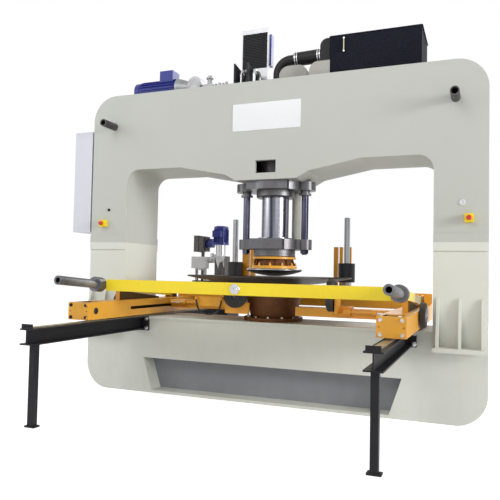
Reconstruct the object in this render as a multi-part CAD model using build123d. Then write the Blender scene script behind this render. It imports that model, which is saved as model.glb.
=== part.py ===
from build123d import *
import os
from math import cos, sin, radians, sqrt, tan

# Dished-end forming press: a closed portal frame with a forming head, and a
# rail-borne manipulator that carries the round plate between the dies.
# Millimetres. Origin on the floor under the ram axis. +X is right seen from
# the front, +Y goes to the back, +Z is up.

# Portal frame
frame_width = 3750.0
frame_height = 2925.0
frame_depth = 600.0
frame_corner = 250.0
window_half = frame_width / 2 - 415.0
window_corner = 130.0
window_top = 2165.0
haunch_outer = 870.0
haunch_inner = 400.0
haunch_drop = 90.0
seat_half = 290.0
seat_drop = 150.0
frame_wall = 40.0
seam_height = 1444.0
seam_lip = 12.0
seam_flange = 69.0
bed_height = 700.0
bed_plate = 27.0
bed_overhang = 14.0
bed_groove = 8.0
apron_bottom = 332.0
recess_depth = 170.0
recess_top_half = window_half - 238.0
recess_bottom_half = window_half - 340.0
sill_height = 26.0
sight_width = 200.0
sight_height = 116.0
sight_z = 2133.0
running_gap = 0.3

# Column brackets, lifting tubes, blank plate
bracket_shelf_z = 612.0
bracket_shelf = 34.0
bracket_reach = 135.0
bracket_width = 400.0
gusset_height = 385.0
gusset_thick = 22.0
lifting_radius = 36.0
lifting_bore = 26.0
lifting_reach = 200.0
lifting_x = frame_width / 2 - 250.0
lifting_z = frame_height - 317.0
plate_width = 655.0
plate_height = 252.0
plate_z = frame_height - 331.0
plate_thick = 4.0

# Press head
ram_radius = 128.0
ram_length = 1290.0
ram_foot = 1484.0
barrel_wall = 46.0
barrel_height = frame_height - window_top
head_thick = 78.0
head_hub = 280.0
head_face_half = 197.0
face_front = -259.0
platen_hub = 245.0
platen_face_half = 158.0
head_ear = 98.0
platen_ear = 68.0
lug_radius = 54.0
gland_radius = 180.0
gland_height = 62.0
column_x = 292.0
column_radius = 33.0
column_length = 1.3 * (frame_height - window_top)
bush_radius = 52.0
bush_height = 42.0
return_x = 150.0
return_y = 195.0
return_radius = 44.0
foot_ring_radius = 160.0
foot_ring_height = 16.0
platen_top = 1484.0
platen_thick = 94.0
nut_radius = 38.0
nut_height = 36.0
block_radius = 196.0
block_height = 70.0
holder_radius = 204.0
holder_flange = 20.0
holder_base = 26.0
holder_rib_height = 62.0
holder_neck = 168.0
rib_count = 11
rib_height = 30.0
die_radius = 261.0
die_edge = 26.0
die_crown = 44.0

# Lower die
drum_top_radius = 272.0
drum_foot_radius = 212.0
drum_height = 228.0
anvil_radius = 262.0
anvil_height = 36.0
anvil_rim = 30.0
anvil_dish = 8.0
drum_base_radius = 276.0
drum_base_height = 32.0

# Rails
rail_x = frame_width / 3
rail_height = 120.0
rail_width = 120.0
rail_web = 8.0
rail_flange = 11.0
rail_front = 1800.0
rail_front_left = 1850.0
rail_rear = 1150.0
bar_width = 56.0
bar_height = 10.0
stop_height = 34.0
leg_side = 50.0
foot_width = 90.0
foot_depth = 64.0
foot_thick = 12.0
end_plate = 16.0

# Manipulator carriage
beam_x = rail_x + 20.0
beam_width = 200.0
beam_height = 144.0
beam_wall = 10.0
beam_front = 1230.0
beam_rear = 790.0
beam_clear = 14.0
slot_height = 28.0
wheel_radius = 44.0
wheel_width = 50.0
wheel_axle = 14.0
wheel_front = 930.0
wheel_back = 560.0
tyre_radius = 100.0
tyre_width = 46.0
tyre_y = -440.0
tyre_z = 862.0
arm_height = 78.0
arm_depth = 130.0
right_arm_y = -205.0
left_arm_y = 200.0
arm_end = 300.0
arm_lift = 71.0
rear_beam_y = 700.0
rear_beam_depth = 120.0
rear_beam_height = 106.0
rear_apron = 52.0
post_depth = 40.0
post_top = 1450.0

# Round plate being formed
blank_radius = 770.0
blank_thick = 12.0
blank_rim_z = 1140.0
blank_depth = 80.0
blank_bore = 20.0
blank_x = -50.0

# Plate drive wheels
left_drive_radius = 108.0
right_drive_radius = 136.0
drive_width = 48.0
drive_axle = 16.0
left_drive_x = -253.0
left_drive_y = -330.0
right_drive_x = 646.0
right_drive_y = -366.0

# Edge rollers
edge_x = 610.0
edge_y = 595.4
edge_roller_radius = 82.0
edge_roller_height = 190.0
edge_roller_z = 1092.0
spindle_radius = 29.0
spindle_top = 1741.0

# Lift fork with the cross bar
fork_y = -900.0
fork_bar_height = 100.0
fork_bar_depth = 70.0
fork_bar_z = 1036.0
fork_tilt = 4.3
collar_radius = 64.0
collar_length = 76.0
grip_radius = 37.0
grip_bore = 22.0
grip_length = 475.0
fork_arm_width = 56.0
fork_arm_height = 70.0
fork_pivot_y = 330.0
fork_pin = 18.0
rest_front = -660.0
rest_rear = 40.0
unit_loop = 258.0
unit_hose_radius = 8.0
pipe_size = 6.0
arm_x = rail_x + 38.0
bar_half = rail_x - 28.0
cylinder_far = rail_x - 84.0
cylinder_near = cylinder_far - 181.0
hinge_out = 26.0
post_spans = ((-610, -535), (-517, -468), (405, 447), (465, 496), (558, 584))

# Electrical cabinet on the left column
cabinet_depth = 210.0
cabinet_width = 560.0
cabinet_high = frame_height - 345.0
cabinet_low = cabinet_high - 1030.0
cabinet_door = 22.0
cabinet_gap = 18.0

# Emergency stops
stop_box = 68.0
stop_box_depth = 52.0
stop_z = seam_height + 190.0
stop_right_x = frame_width / 2 - 145.0
stop_left_x = 159.0 - frame_width / 2
stop_ring_radius = 31.0
stop_ring_depth = 6.0
stop_cap_radius = 20.0

# Hydraulics on top of the frame
tank_length = 785.0
tank_depth = 470.0
tank_height = 356.0
tank_x = frame_width / 2 - 917.0
tank_wall = 4.0
cooler_x = -238.0
cooler_width = 268.0
cooler_height = 581.0
cooler_depth = 64.0
cooler_y = 20.0
cowl_depth = 70.0
core_sill = 191.0
cowl_top = 568.0
fan_radius = 118.0
motor_x = 547.0 - frame_width / 2
motor_y = 80.0
motor_radius = 98.0
motor_length = 440.0
motor_axis = 128.0
hose_radius = 48.0
sleeve_radius = 64.0
hose_rise = 262.0
hose_x = 5.0
hood_width = 88.0
bell_length = 140.0
pump_radius = 76.0
bracket_places = (-336.0, -209.0)
bracket_front = -270.0
bracket_rise = 196.0
pipe_radius = 16.0
pot_length = 268.0
pot_height = 155.0

# Power unit behind the frame
unit_x = -1290.0
unit_y = 1480.0
unit_width = 470.0
unit_depth = 360.0
unit_height = 1060.0
unit_motor_shift = 65.0
fan_face = -146.0
fan_shift = 25.0
fan_centre = 463.0

front_y = -frame_depth / 2
back_y = frame_depth / 2
bed_top = bed_height + bed_plate
rail_top = bed_top
bar_top = rail_top + bar_height
beam_low = bar_top + beam_clear
beam_top = beam_low + beam_height
wheel_z = bar_top + wheel_radius
head_z = window_top - seat_drop

os.makedirs("parts", exist_ok=True)


def save(name, *solids):
    shape = solids[0] if len(solids) == 1 else Compound(list(solids))
    shape.label = name
    export_step(shape, f"parts/{name}.step")


def block(x0, x1, y0, y1, z0, z1):
    return Pos((x0 + x1) / 2, (y0 + y1) / 2, (z0 + z1) / 2) * Box(x1 - x0, y1 - y0, z1 - z0)


def upright(x, y, z0, z1, radius):
    return Pos(x, y, (z0 + z1) / 2) * Cylinder(radius, z1 - z0)


def along_x(x0, x1, y, z, radius):
    return Pos((x0 + x1) / 2, y, z) * Rot(0, 90, 0) * Cylinder(radius, x1 - x0)


def along_y(x, y0, y1, z, radius):
    return Pos(x, (y0 + y1) / 2, z) * Rot(90, 0, 0) * Cylinder(radius, y1 - y0)


def solid_of(shape):
    return shape.solids()[0]


def both_sides(maker):
    return maker(-1), maker(1)


def slab(face, y_front, y_back):
    return Pos(0, y_back, 0) * extrude(Plane.XZ * face, amount=y_back - y_front)


def band(z0, z1):
    return Pos(0, (z0 + z1) / 2) * Rectangle(2 * frame_width, z1 - z0)


def window_face(grow=0.0):
    half = window_half + grow
    top = window_top + grow
    points = [
        (-half, 0), (-half, top), (-haunch_outer, top),
        (-haunch_inner, top - haunch_drop), (-seat_half, head_z + grow),
        (seat_half, head_z + grow), (haunch_inner, top - haunch_drop),
        (haunch_outer, top), (half, top), (half, 0),
    ]
    face = make_face(Polyline(*points, close=True))
    corners = [v for v in face.vertices() if abs(v.Y - top) < 1 and abs(abs(v.X) - half) < 1]
    return fillet(corners, window_corner)


def portal_face(inset=0.0):
    return Pos(0, frame_height / 2) * RectangleRounded(
        frame_width - 2 * inset, frame_height - 2 * inset, frame_corner - inset)


def make_upper_yoke():
    shell = portal_face() & band(seam_height, frame_height)
    body = slab(shell - window_face(), front_y, back_y)
    hollow = portal_face(frame_wall) & band(seam_height + frame_wall, frame_height)
    body -= slab(hollow - window_face(frame_wall), front_y + frame_wall, back_y - frame_wall)
    low = seam_height
    for side in (-1, 1):
        x0, x1 = sorted((side * window_half, side * frame_width / 2))
        body += block(x0, x1, front_y - seam_lip, back_y + seam_lip, low, low + seam_flange)
    body -= upright(0, 0, head_z - 5, head_z + frame_wall + 5, ram_radius + barrel_wall + running_gap)
    for side in (-1, 1):
        hole = column_radius + 5
        body -= upright(side * column_x, 0, head_z - 30, head_z + 250, hole)
        body -= upright(side * return_x, return_y, head_z - 5, head_z + 60, return_radius + 5)
    body -= block(-sight_width / 2, sight_width / 2, front_y - 5, front_y + frame_wall + 5,
                  sight_z - sight_height / 2, sight_z + sight_height / 2)
    return solid_of(body)


def make_lower_bed():
    face = portal_face() & band(0, seam_height)
    face -= Pos(0, bed_height + seam_height / 2) * Rectangle(2 * window_half, seam_height)
    body = slab(face, front_y, back_y)
    for side in (-1, 1):
        x0, x1 = sorted((side * window_half, side * frame_width / 2))
        body += block(x0, x1, front_y - seam_lip, back_y + seam_lip,
                      seam_height - seam_flange, seam_height)
    recess = make_face(Polyline(
        (-recess_top_half, apron_bottom), (recess_top_half, apron_bottom),
        (recess_bottom_half, sill_height), (-recess_bottom_half, sill_height), close=True))
    body -= slab(recess, front_y - 5, front_y + recess_depth)
    body -= slab(recess, back_y - recess_depth, back_y + 5)
    return solid_of(body)


def make_bed_plate():
    edge = front_y - bed_overhang
    half = window_half - running_gap
    plate = block(-half, half, edge, -edge, bed_height, bed_top)
    for y in (edge, -edge):
        y0, y1 = sorted((y, y + (bed_overhang - bed_groove if y < 0 else bed_groove - bed_overhang)))
        plate -= block(-half - 5, half + 5, y0, y1, bed_height, bed_height + bed_groove)
    return solid_of(plate)


def make_bracket(side):
    centre = side * (window_half + frame_width / 2) / 2
    shelf = block(centre - bracket_width / 2, centre + bracket_width / 2,
                  front_y - bracket_reach, front_y, bracket_shelf_z - bracket_shelf, bracket_shelf_z)
    step = (bracket_width - 2 * gusset_thick - 20) / 2
    for k in (-1, 0, 1):
        x = centre + k * step
        profile = make_face(Polyline(
            (front_y, bracket_shelf_z), (front_y, bracket_shelf_z + gusset_height),
            (front_y - 16, bracket_shelf_z + gusset_height),
            (front_y - bracket_reach + 18, bracket_shelf_z), close=True))
        shelf += Pos(x - gusset_thick / 2, 0, 0) * extrude(Plane.YZ * profile, amount=gusset_thick)
    return solid_of(shelf)


def make_lifting_tube(side, facing):
    start = facing * back_y
    end = start + facing * lifting_reach
    y0, y1 = sorted((start, end))
    tube = along_y(side * lifting_x, y0, y1, lifting_z, lifting_radius)
    tube -= along_y(side * lifting_x, y0 + (0 if facing < 0 else 20) - (5 if facing < 0 else 0),
                    y1 - (20 if facing < 0 else -5), lifting_z, lifting_bore)
    return solid_of(tube)


def make_blank_plate():
    plate = block(-plate_width / 2, plate_width / 2, front_y - plate_thick, front_y,
                  plate_z - plate_height / 2, plate_z + plate_height / 2)
    return solid_of(fillet(plate.edges().filter_by(Axis.Y), 10))


# Press head, fixed pieces

def eared_plate(z0, z1, hub, ear, face_half, bore):
    profile = Circle(hub) + Rectangle(2 * column_x, 1.84 * ear)
    profile += Pos(0, face_front / 2) * Rectangle(2 * face_half, -face_front)
    for side in (-1, 1):
        profile += Pos(side * column_x, 0) * Circle(ear)
        profile += Pos(side * return_x, return_y) * Circle(lug_radius)
        profile += Pos(side * return_x * 0.7, return_y * 0.7) * Circle(lug_radius * 1.5)
    plate = Pos(0, 0, z0) * extrude(profile, amount=z1 - z0)
    return plate - upright(0, 0, z0 - 5, z1 + 5, bore)


def make_head_flange():
    z0, z1 = head_z - head_thick, head_z
    plate = eared_plate(z0, z1, head_hub, head_ear, head_face_half, ram_radius + 4)
    for side in (-1, 1):
        plate -= upright(side * column_x, 0, z0 - 5, z1 + 5, column_radius + 2)
        plate -= upright(side * return_x, return_y, z0 - 5, z1 + 5, return_radius + 2)
    return solid_of(plate)


def make_cylinder_barrel():
    outer = ram_radius + barrel_wall
    z1 = head_z + barrel_height
    tube = upright(0, 0, head_z, z1, outer) - upright(0, 0, head_z - 5, z1 - barrel_wall, ram_radius + 2)
    return solid_of(tube)


def make_gland():
    z1 = head_z - head_thick
    z0 = z1 - gland_height
    ring = upright(0, 0, z0, z1, gland_radius)
    ring = chamfer(ring.faces().sort_by(Axis.Z)[0].edges(), 12)
    return solid_of(ring - upright(0, 0, z0 - 5, z1 + 5, ram_radius + running_gap / 4))


def make_bush(side):
    z1 = head_z - head_thick
    z0 = z1 - bush_height
    x = side * column_x
    ring = upright(x, 0, z0 + 5, z1, bush_radius - 10) + upright(x, 0, z0, z0 + 18, bush_radius + 5)
    return solid_of(ring - upright(x, 0, z0 - 5, z1 + 5, column_radius + running_gap / 4))


# Press head, moving pieces

def make_ram_rod():
    rod = upright(0, 0, ram_foot, head_z + 190, ram_radius)
    rod = chamfer(rod.faces().sort_by(Axis.Z)[-1].edges(), 8)
    return solid_of(rod + upright(0, 0, ram_foot, ram_foot + foot_ring_height, foot_ring_radius))


def make_platen():
    z0 = platen_top - platen_thick
    plate = eared_plate(z0, platen_top, platen_hub, platen_ear, platen_face_half, 30)
    for side in (-1, 1):
        plate -= upright(side * column_x, 0, z0 - 5, platen_top + 5, column_radius * 0.7)
    for step in (40, 66):
        plate -= block(-platen_face_half + 20, platen_face_half - 20, face_front - 5, face_front + 2, z0 + step, z0 + step + 5)
    return solid_of(plate)


def make_guide_column(side):
    x = side * column_x
    rod = upright(x, 0, platen_top, platen_top + column_length, column_radius)
    rod += upright(x, 0, platen_top - platen_thick - nut_height - 10, platen_top, column_radius * 0.7)
    return solid_of(rod)


def make_return_rod(side):
    return solid_of(upright(side * return_x, return_y, platen_top, head_z + 260, return_radius))


def make_column_nut(side):
    x = side * column_x
    z1 = platen_top - platen_thick
    nut = Pos(x, 0, z1 - nut_height) * extrude(RegularPolygon(nut_radius, 6), amount=nut_height)
    return solid_of(nut - upright(x, 0, z1 - nut_height - 5, z1 + 5, column_radius * 0.7))


def make_adapter_block():
    z1 = platen_top - platen_thick
    z0 = z1 - block_height
    puck = upright(0, 0, z0, z1, block_radius)
    puck = chamfer(puck.faces().sort_by(Axis.Z)[0].edges(), 8)
    groove = upright(0, 0, z0 + 22, z0 + 30, block_radius + 5) - upright(
        0, 0, z0 + 22, z0 + 30, block_radius - 7)
    return solid_of(puck - groove)


def holder_top():
    return platen_top - platen_thick - block_height


def make_holder_flange():
    z1 = holder_top()
    return solid_of(upright(0, 0, z1 - holder_flange, z1, holder_radius))


def make_ribbed_spacer():
    z1 = holder_top() - holder_flange
    z0 = z1 - holder_rib_height
    spacer = loft([Plane.XY.offset(z0) * Circle(holder_neck + 14), Plane.XY.offset(z1) * Circle(holder_neck)])
    for k in range(rib_count):
        profile = make_face(Polyline(
            (holder_neck - 12, z0), (holder_radius + 4, z0), (holder_neck + 14, z1),
            (holder_neck - 12, z1), close=True))
        rib = extrude(Plane.XZ * profile, amount=5, both=True)
        spacer += Rot(0, 0, 360 / rib_count * k) * rib
    return solid_of(spacer)


def make_holder_base():
    z1 = holder_top() - holder_flange - holder_rib_height
    base = upright(0, 0, z1 - holder_base, z1, holder_radius + 9)
    base = chamfer(base.faces().sort_by(Axis.Z)[-1].edges(), 4)
    for k in range(rib_count):
        lug = Solid.make_cone(13, 4, rib_height).moved(Location((holder_radius - 5, 0, z1 - 2)))
        base += Rot(0, 0, 360 / rib_count * (k + 0.5)) * lug
    return solid_of(base)


def die_top():
    return holder_top() - holder_flange - holder_rib_height - holder_base


def make_forming_die():
    z1 = die_top()
    edge = z1 - die_edge
    low = edge - die_crown
    reach = die_radius - 12
    sphere = (reach ** 2 + die_crown ** 2) / (2 * die_crown)
    rise = sphere - sqrt(sphere ** 2 - (reach / 2) ** 2)
    profile = make_face([
        Line((0, z1), (die_radius - 14, z1)),
        ThreePointArc((die_radius - 14, z1), (die_radius, z1 - 13), (reach, edge)),
        ThreePointArc((reach, edge), (reach / 2, low + rise), (0, low)),
        Line((0, low), (0, z1)),
    ])
    return solid_of(revolve(Plane.XZ * profile, Axis.Z))


# Lower die

def make_die_drum():
    z0 = bed_top + drum_base_height
    z1 = z0 + drum_height
    drum = loft([Plane.XY.offset(z0) * Circle(drum_foot_radius),
                 Plane.XY.offset(z1) * Circle(drum_top_radius)])
    return solid_of(drum)


def make_drum_base():
    base = upright(0, 0, bed_top, bed_top + drum_base_height, drum_base_radius)
    for k in range(8):
        angle = radians(45 * k + 22.5)
        x = (drum_base_radius - 20) * cos(angle)
        y = (drum_base_radius - 20) * sin(angle)
        base += Pos(x, y, bed_top + drum_base_height) * extrude(RegularPolygon(11, 6), amount=9)
    return solid_of(base)


def make_anvil_ring():
    z0 = bed_top + drum_base_height + drum_height
    ring = upright(0, 0, z0, z0 + anvil_height, anvil_radius)
    ring = chamfer(ring.faces().sort_by(Axis.Z)[-1].edges(), 6)
    return solid_of(ring - upright(0, 0, z0 + anvil_height - anvil_dish, z0 + anvil_height + 5,
                                   anvil_radius - anvil_rim))


# Rails

def rail_face():
    low = rail_top - rail_height
    face = Pos(0, rail_top - rail_flange / 2) * Rectangle(rail_width, rail_flange)
    face += Pos(0, low + rail_flange / 2) * Rectangle(rail_width, rail_flange)
    return face + Pos(0, rail_top - rail_height / 2) * Rectangle(rail_web, rail_height - 2)


def make_rail_run(side, facing, far):
    x = side * rail_x
    near = back_y + bed_overhang
    y0, y1 = sorted((facing * near, facing * far))
    rail = Pos(x, 0, 0) * slab(rail_face(), y0, y1)
    low = rail_top - rail_height
    y0, y1 = sorted((facing * near, facing * (near + end_plate)))
    rail += block(x - 88, x + 88, y0, y1, low - 12, rail_top)
    y0, y1 = sorted((facing * back_y, facing * near))
    rail += block(x - 88, x + 88, y0, y1, low - 12, bed_height - 1)
    for dx in (-72, 72):
        for z in (low + 14, rail_top - 20):
            y0, y1 = sorted((facing * (near + end_plate), facing * (near + end_plate + 8)))
            rail += along_y(x + dx, y0, y1, z, 9)
    leg_y = facing * (far - 90)
    rail += block(x - leg_side / 2, x + leg_side / 2, leg_y - leg_side / 2, leg_y + leg_side / 2,
                  foot_thick, low)
    rail += block(x - foot_width / 2, x + foot_width / 2, leg_y - foot_depth / 2,
                  leg_y + foot_depth / 2, 0, foot_thick)
    return solid_of(rail)


def make_rail_stop(side, facing, far):
    x = side * rail_x
    y0, y1 = sorted((facing * (far - 16), facing * far))
    stop = block(x - 46, x + 46, y0, y1, rail_top, rail_top + stop_height)
    for dx in (-16, 16):
        y0, y1 = sorted((facing * far, facing * (far + 6)))
        stop += along_y(x + dx, y0, y1, rail_top + 18, 6)
    return solid_of(stop)


def front_reach(side):
    return rail_front_left if side < 0 else rail_front


def make_running_bar(side):
    x = side * rail_x
    return solid_of(block(x - bar_width / 2, x + bar_width / 2, 26 - front_reach(side), rail_rear - 26,
                          rail_top, bar_top))


# Carriage

def make_side_beam(side):
    x0 = side * beam_x - beam_width / 2
    x1 = side * beam_x + beam_width / 2
    beam = block(x0, x1, -beam_front, beam_rear, beam_low, beam_top)
    beam -= block(x0 + beam_wall, x1 - beam_wall, -beam_front + beam_wall, beam_rear - beam_wall,
                  beam_low - 5, beam_top - beam_wall)
    beam -= block(x0 + 30, x1 - 30, -beam_front + 30, -beam_front + 240,
                  beam_top - beam_wall - 5, beam_top + 5)
    inner = x0 if side > 0 else x1
    beam -= Pos(inner, -30, beam_low + 74) * Box(3 * beam_wall, 1180, slot_height)
    beam -= along_x(inner - 15, inner + 15, -1139, beam_low + 70, 14)
    for y in (-wheel_front, wheel_back):
        beam += along_x(x0 + 5, x1 - 5, y, wheel_z, wheel_axle)
    outer = side * (beam_x + beam_width / 2)
    a, b = sorted((outer - side * 5, outer + side * (tyre_width + 18)))
    beam += along_x(a, b, tyre_y, tyre_z, wheel_axle)
    return solid_of(beam)


def make_end_plate(side):
    x = side * beam_x
    half = beam_width / 2
    plate = block(x - half, x + half, -beam_front - 12, -beam_front, beam_low, beam_top)
    for dx in (-1, 1):
        for dz in (18, beam_height - 18):
            plate += along_y(x + dx * (half - 18), -beam_front - 20, -beam_front - 12,
                             beam_low + dz, 10)
        plate -= along_y(x + dx * (half - 18), -beam_front - 30, -beam_front + 5,
                         beam_low + beam_height / 2, 6)
    return solid_of(plate)


def fork_height(y):
    return fork_bar_z - (y - fork_y) * tan(radians(fork_tilt))


def make_pivot_support(side):
    z = fork_height(fork_pivot_y)
    shape = None
    for dx in (-1, 1):
        x = side * arm_x + dx * (fork_arm_width / 2 + 8)
        cheek = block(x - 7, x + 7, fork_pivot_y - 50, fork_pivot_y + 50, beam_top, z)
        cheek += along_x(x - 7, x + 7, fork_pivot_y, z, 50)
        shape = cheek if shape is None else shape + cheek
    x = side * arm_x
    shape += along_x(x - fork_arm_width / 2 - 12, x + fork_arm_width / 2 + 12, fork_pivot_y, z, fork_pin)
    shape += block(x - fork_arm_width / 2 - 15, x + fork_arm_width / 2 + 15, fork_pivot_y - 50,
                   fork_pivot_y + 50, beam_top, beam_top + 10)
    return solid_of(shape)


def make_fork_rest(side):
    x = side * arm_x
    under = fork_arm_height / 2 / cos(radians(fork_tilt))
    profile = make_face(Polyline(
        (rest_front, beam_top), (rest_front, fork_height(rest_front) - under),
        (rest_front + 60, fork_height(rest_front + 60) - under), (rest_rear, beam_top + 14),
        (rest_rear, beam_top), close=True))
    return solid_of(Pos(x - 22, 0, 0) * extrude(Plane.YZ * profile, amount=44))


def make_rail_wheel(side, y):
    x = side * rail_x
    wheel = along_x(x - wheel_width / 2, x + wheel_width / 2, y, wheel_z, wheel_radius - 0.3)
    return solid_of(wheel - along_x(x - wheel_width, x + wheel_width, y, wheel_z, wheel_axle + 0.05))


def make_side_wheel(side):
    x0 = side * (beam_x + beam_width / 2 + 8)
    a, b = sorted((x0, x0 + side * tyre_width))
    wheel = along_x(a, b, tyre_y, tyre_z, tyre_radius)
    wheel = fillet(wheel.edges().filter_by(GeomType.CIRCLE), 8)
    for k in range(6):
        turn = radians(60 * k)
        wheel -= along_x(a - 5, b + 5, tyre_y + 54 * cos(turn), tyre_z + 54 * sin(turn), 15)
    return solid_of(wheel - along_x(a - 5, b + 5, tyre_y, tyre_z, wheel_axle + 0.05))


def arm_y(side):
    return left_arm_y if side < 0 else right_arm_y


def make_cross_arm(side):
    x0, x1 = sorted((side * arm_end, side * (beam_x - beam_width / 2)))
    z0 = bed_top + arm_lift
    y0, y1 = arm_y(side) - arm_depth / 2, arm_y(side) + arm_depth / 2
    arm = block(x0, x1, y0, y1, z0, z0 + arm_height)
    return solid_of(arm - block(x0 - 5, x1 + 5, y0 + 8, y1 - 8, z0 + 8, z0 + arm_height - 8))


def make_slide_cylinder(side):
    z = bed_top + arm_lift + arm_height - 22
    face = arm_y(side) - arm_depth / 2
    y = face - 26
    x0, x1 = sorted((side * cylinder_near, side * cylinder_far))
    body = along_x(x0, x1, y, z, 24)
    body += block(x0 + 20, x1 - 20, y, face, z - 16, z + 16)
    a, b = sorted((side * (cylinder_near - 5), side * (cylinder_far - 8)))
    return solid_of(body - along_x(a, b, y, z, 12.06))


def make_rear_beam():
    x = beam_x + beam_width / 2
    inner = beam_x - beam_width / 2 - 1
    y0 = rear_beam_y - rear_beam_depth / 2
    y1 = rear_beam_y + rear_beam_depth / 2
    z0, z1 = beam_top, beam_top + rear_beam_height
    beam = block(-x, x, y0, y1, z0, z1)
    beam -= block(-x - 5, x + 5, y0 + 8, y1 - 8, z0 + 8, z1 - 8)
    beam += block(-inner, inner, y0, y0 + 14, z0 - rear_apron, z0 + 4)
    for x0, x1 in post_spans:
        beam += block(x0, x1, rear_beam_y - post_depth / 2, rear_beam_y + post_depth / 2, z1 - 4, post_top)
    for side in (-1, 1):
        x = edge_place(side)
        beam += block(x - 50, x + 50, edge_y - 48, y0 + 60, z1 - 4, z1 + 24)
    return solid_of(beam)


def edge_place(side):
    return blank_x + side * edge_x


def make_spindle(side):
    z0 = beam_top + rear_beam_height + 24
    x = edge_place(side)
    pin = upright(x, edge_y, z0, spindle_top, spindle_radius)
    pin += upright(x, edge_y, z0, edge_roller_z - 0.3, 46)
    return solid_of(chamfer(pin.faces().sort_by(Axis.Z)[-1].edges(), 5))


def make_edge_roller(side):
    x = edge_place(side)
    z0, z1 = edge_roller_z, edge_roller_z + edge_roller_height
    roller = upright(x, edge_y, z0, z1, edge_roller_radius)
    roller = chamfer(roller.faces().filter_by(Axis.Z).edges(), 4)
    return solid_of(roller - upright(x, edge_y, z0 - 5, z1 + 5, spindle_radius + 0.06))


def make_round_plate():
    sagitta = blank_depth
    sphere = (blank_radius ** 2 + sagitta ** 2) / (2 * sagitta)
    mid = blank_radius / 2
    low = blank_rim_z - sagitta
    rise = sphere - sqrt(sphere ** 2 - mid ** 2)
    profile = make_face([
        ThreePointArc((blank_bore, low), (mid, low + rise), (blank_radius, blank_rim_z)),
        Line((blank_radius, blank_rim_z), (blank_radius, blank_rim_z - blank_thick)),
        ThreePointArc((blank_radius, blank_rim_z - blank_thick), (mid, low + rise - blank_thick),
                      (blank_bore, low - blank_thick)),
        Line((blank_bore, low - blank_thick), (blank_bore, low)),
    ])
    return solid_of(Pos(blank_x, 0, 0) * revolve(Plane.XZ * profile, Axis.Z))


# Lifting fork

def tilted(shape):
    return Pos(0, fork_y, fork_bar_z) * Rot(-fork_tilt, 0, 0) * shape


def make_fork_frame():
    bar = block(-bar_half, bar_half, fork_y - fork_bar_depth / 2, fork_y + fork_bar_depth / 2,
                fork_bar_z - fork_bar_height / 2, fork_bar_z + fork_bar_height / 2)
    reach = (fork_pivot_y - fork_y) / cos(radians(fork_tilt))
    for side in (-1, 1):
        x = side * arm_x
        arm = block(x - fork_arm_width / 2, x + fork_arm_width / 2, -fork_bar_depth / 2 + 8, reach,
                    -fork_arm_height / 2, fork_arm_height / 2)
        arm += along_x(x - fork_arm_width / 2, x + fork_arm_width / 2, reach, 0, fork_arm_height / 2)
        arm -= along_x(x - fork_arm_width, x + fork_arm_width, reach, 0, fork_pin + 0.06)
        bar += tilted(arm)
        x0, x1 = sorted((side * (bar_half - 10), side * (arm_x + 10)))
        bar += tilted(block(x0, x1, -fork_bar_depth / 2 + 8, fork_bar_depth / 2 - 4, -32, 32))
    return solid_of(bar)


def make_handle_tube(side):
    x = side * arm_x
    face = -fork_bar_depth / 2
    tube = along_y(x, face - collar_length, face + 8, 0, collar_radius)
    tube += along_y(x, face - collar_length - grip_length, face, 0, grip_radius)
    tube -= along_y(x, face - collar_length - grip_length - 5, face - 40, 0, grip_bore)
    return solid_of(tilted(tube))


# Plate drive units

def make_left_saddle():
    face = left_arm_y - arm_depth / 2
    arm_top = bed_top + arm_lift + arm_height
    rod_z = arm_top - 22
    x0, x1 = left_drive_x - 120, left_drive_x - 40
    front = left_drive_y + drive_width / 2 + 21
    saddle = block(x0, x1, front, face + arm_depth - 4, arm_top + running_gap, arm_top + 40)
    saddle += block(x0, x1, front, face - 60, arm_top - 76, arm_top + 20)
    saddle += block(x0, left_drive_x + 115, front, front + 22, arm_top - 82, arm_top + 20)
    saddle += block(left_drive_x - 44, left_drive_x + 44, front, front + 22, arm_top, left_z + 34)
    saddle += block(x0 - 290, x0 + 5, front, front + 14, arm_top - 26, arm_top + 62)
    saddle += along_y(left_drive_x, left_drive_y - drive_width / 2 - 2, front + 5, left_z, drive_axle)
    for x in (left_drive_x - 146 - unit_loop, left_drive_x - 146):
        saddle += along_y(x, front - 36, front + 2, unit_port_z + 12, 10)
        saddle += upright(x, front - 26, unit_port_z, unit_port_z + 24, 12)
    saddle += block(x0 - 30, x0 + 5, face - 62, face - 12, rod_z - 20, rod_z + 20)
    saddle += along_x(-cylinder_near - 20, x0 - 25, face - 26, rod_z, 12)
    return solid_of(saddle)


def make_right_saddle():
    face = right_arm_y - arm_depth / 2
    arm_top = bed_top + arm_lift + arm_height
    rod_z = arm_top - 22
    x0 = right_drive_x + drive_width / 2 + 12
    x1 = x0 + 108
    saddle = block(x0, x1, face - 12, face + arm_depth - 4, arm_top + running_gap, arm_top + 20)
    saddle += block(x0, x1, face - 12, face - 2, arm_top - 60, arm_top + 20)
    saddle += block(x0, x0 + 20, right_drive_y - 40, face - 2, arm_top - 40, right_z + 30)
    saddle += along_x(right_drive_x - drive_width / 2 - 2, x0 + 5, right_drive_y, right_z, drive_axle)
    saddle += block(x1 - 55, x1 + 5, face - 42, face - 2, rod_z - 20, rod_z + 20)
    saddle += along_x(x1, cylinder_near + 20, face - 26, rod_z, 12)
    return solid_of(saddle)


def make_drive_wheel(side):
    half = drive_width / 2
    if side < 0:
        x, y, z, radius, along = left_drive_x, left_drive_y, left_z, left_drive_radius, Rot(90, 0, 0)
    else:
        x, y, z, radius, along = right_drive_x, right_drive_y, right_z, right_drive_radius, Rot(0, 90, 0)
    wheel = fillet(Cylinder(radius, 2 * half).edges().filter_by(GeomType.CIRCLE), 6)
    return solid_of(Pos(x, y, z) * along * (wheel - Cylinder(drive_axle + 0.05, 4 * half)))


def hose_loop(points, radii, thickness):
    path = FilletPolyline(*points, radius=radii)
    start = Plane(path @ 0, z_dir=path % 0)
    return solid_of(sweep(start * Circle(thickness), path=path))


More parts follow.
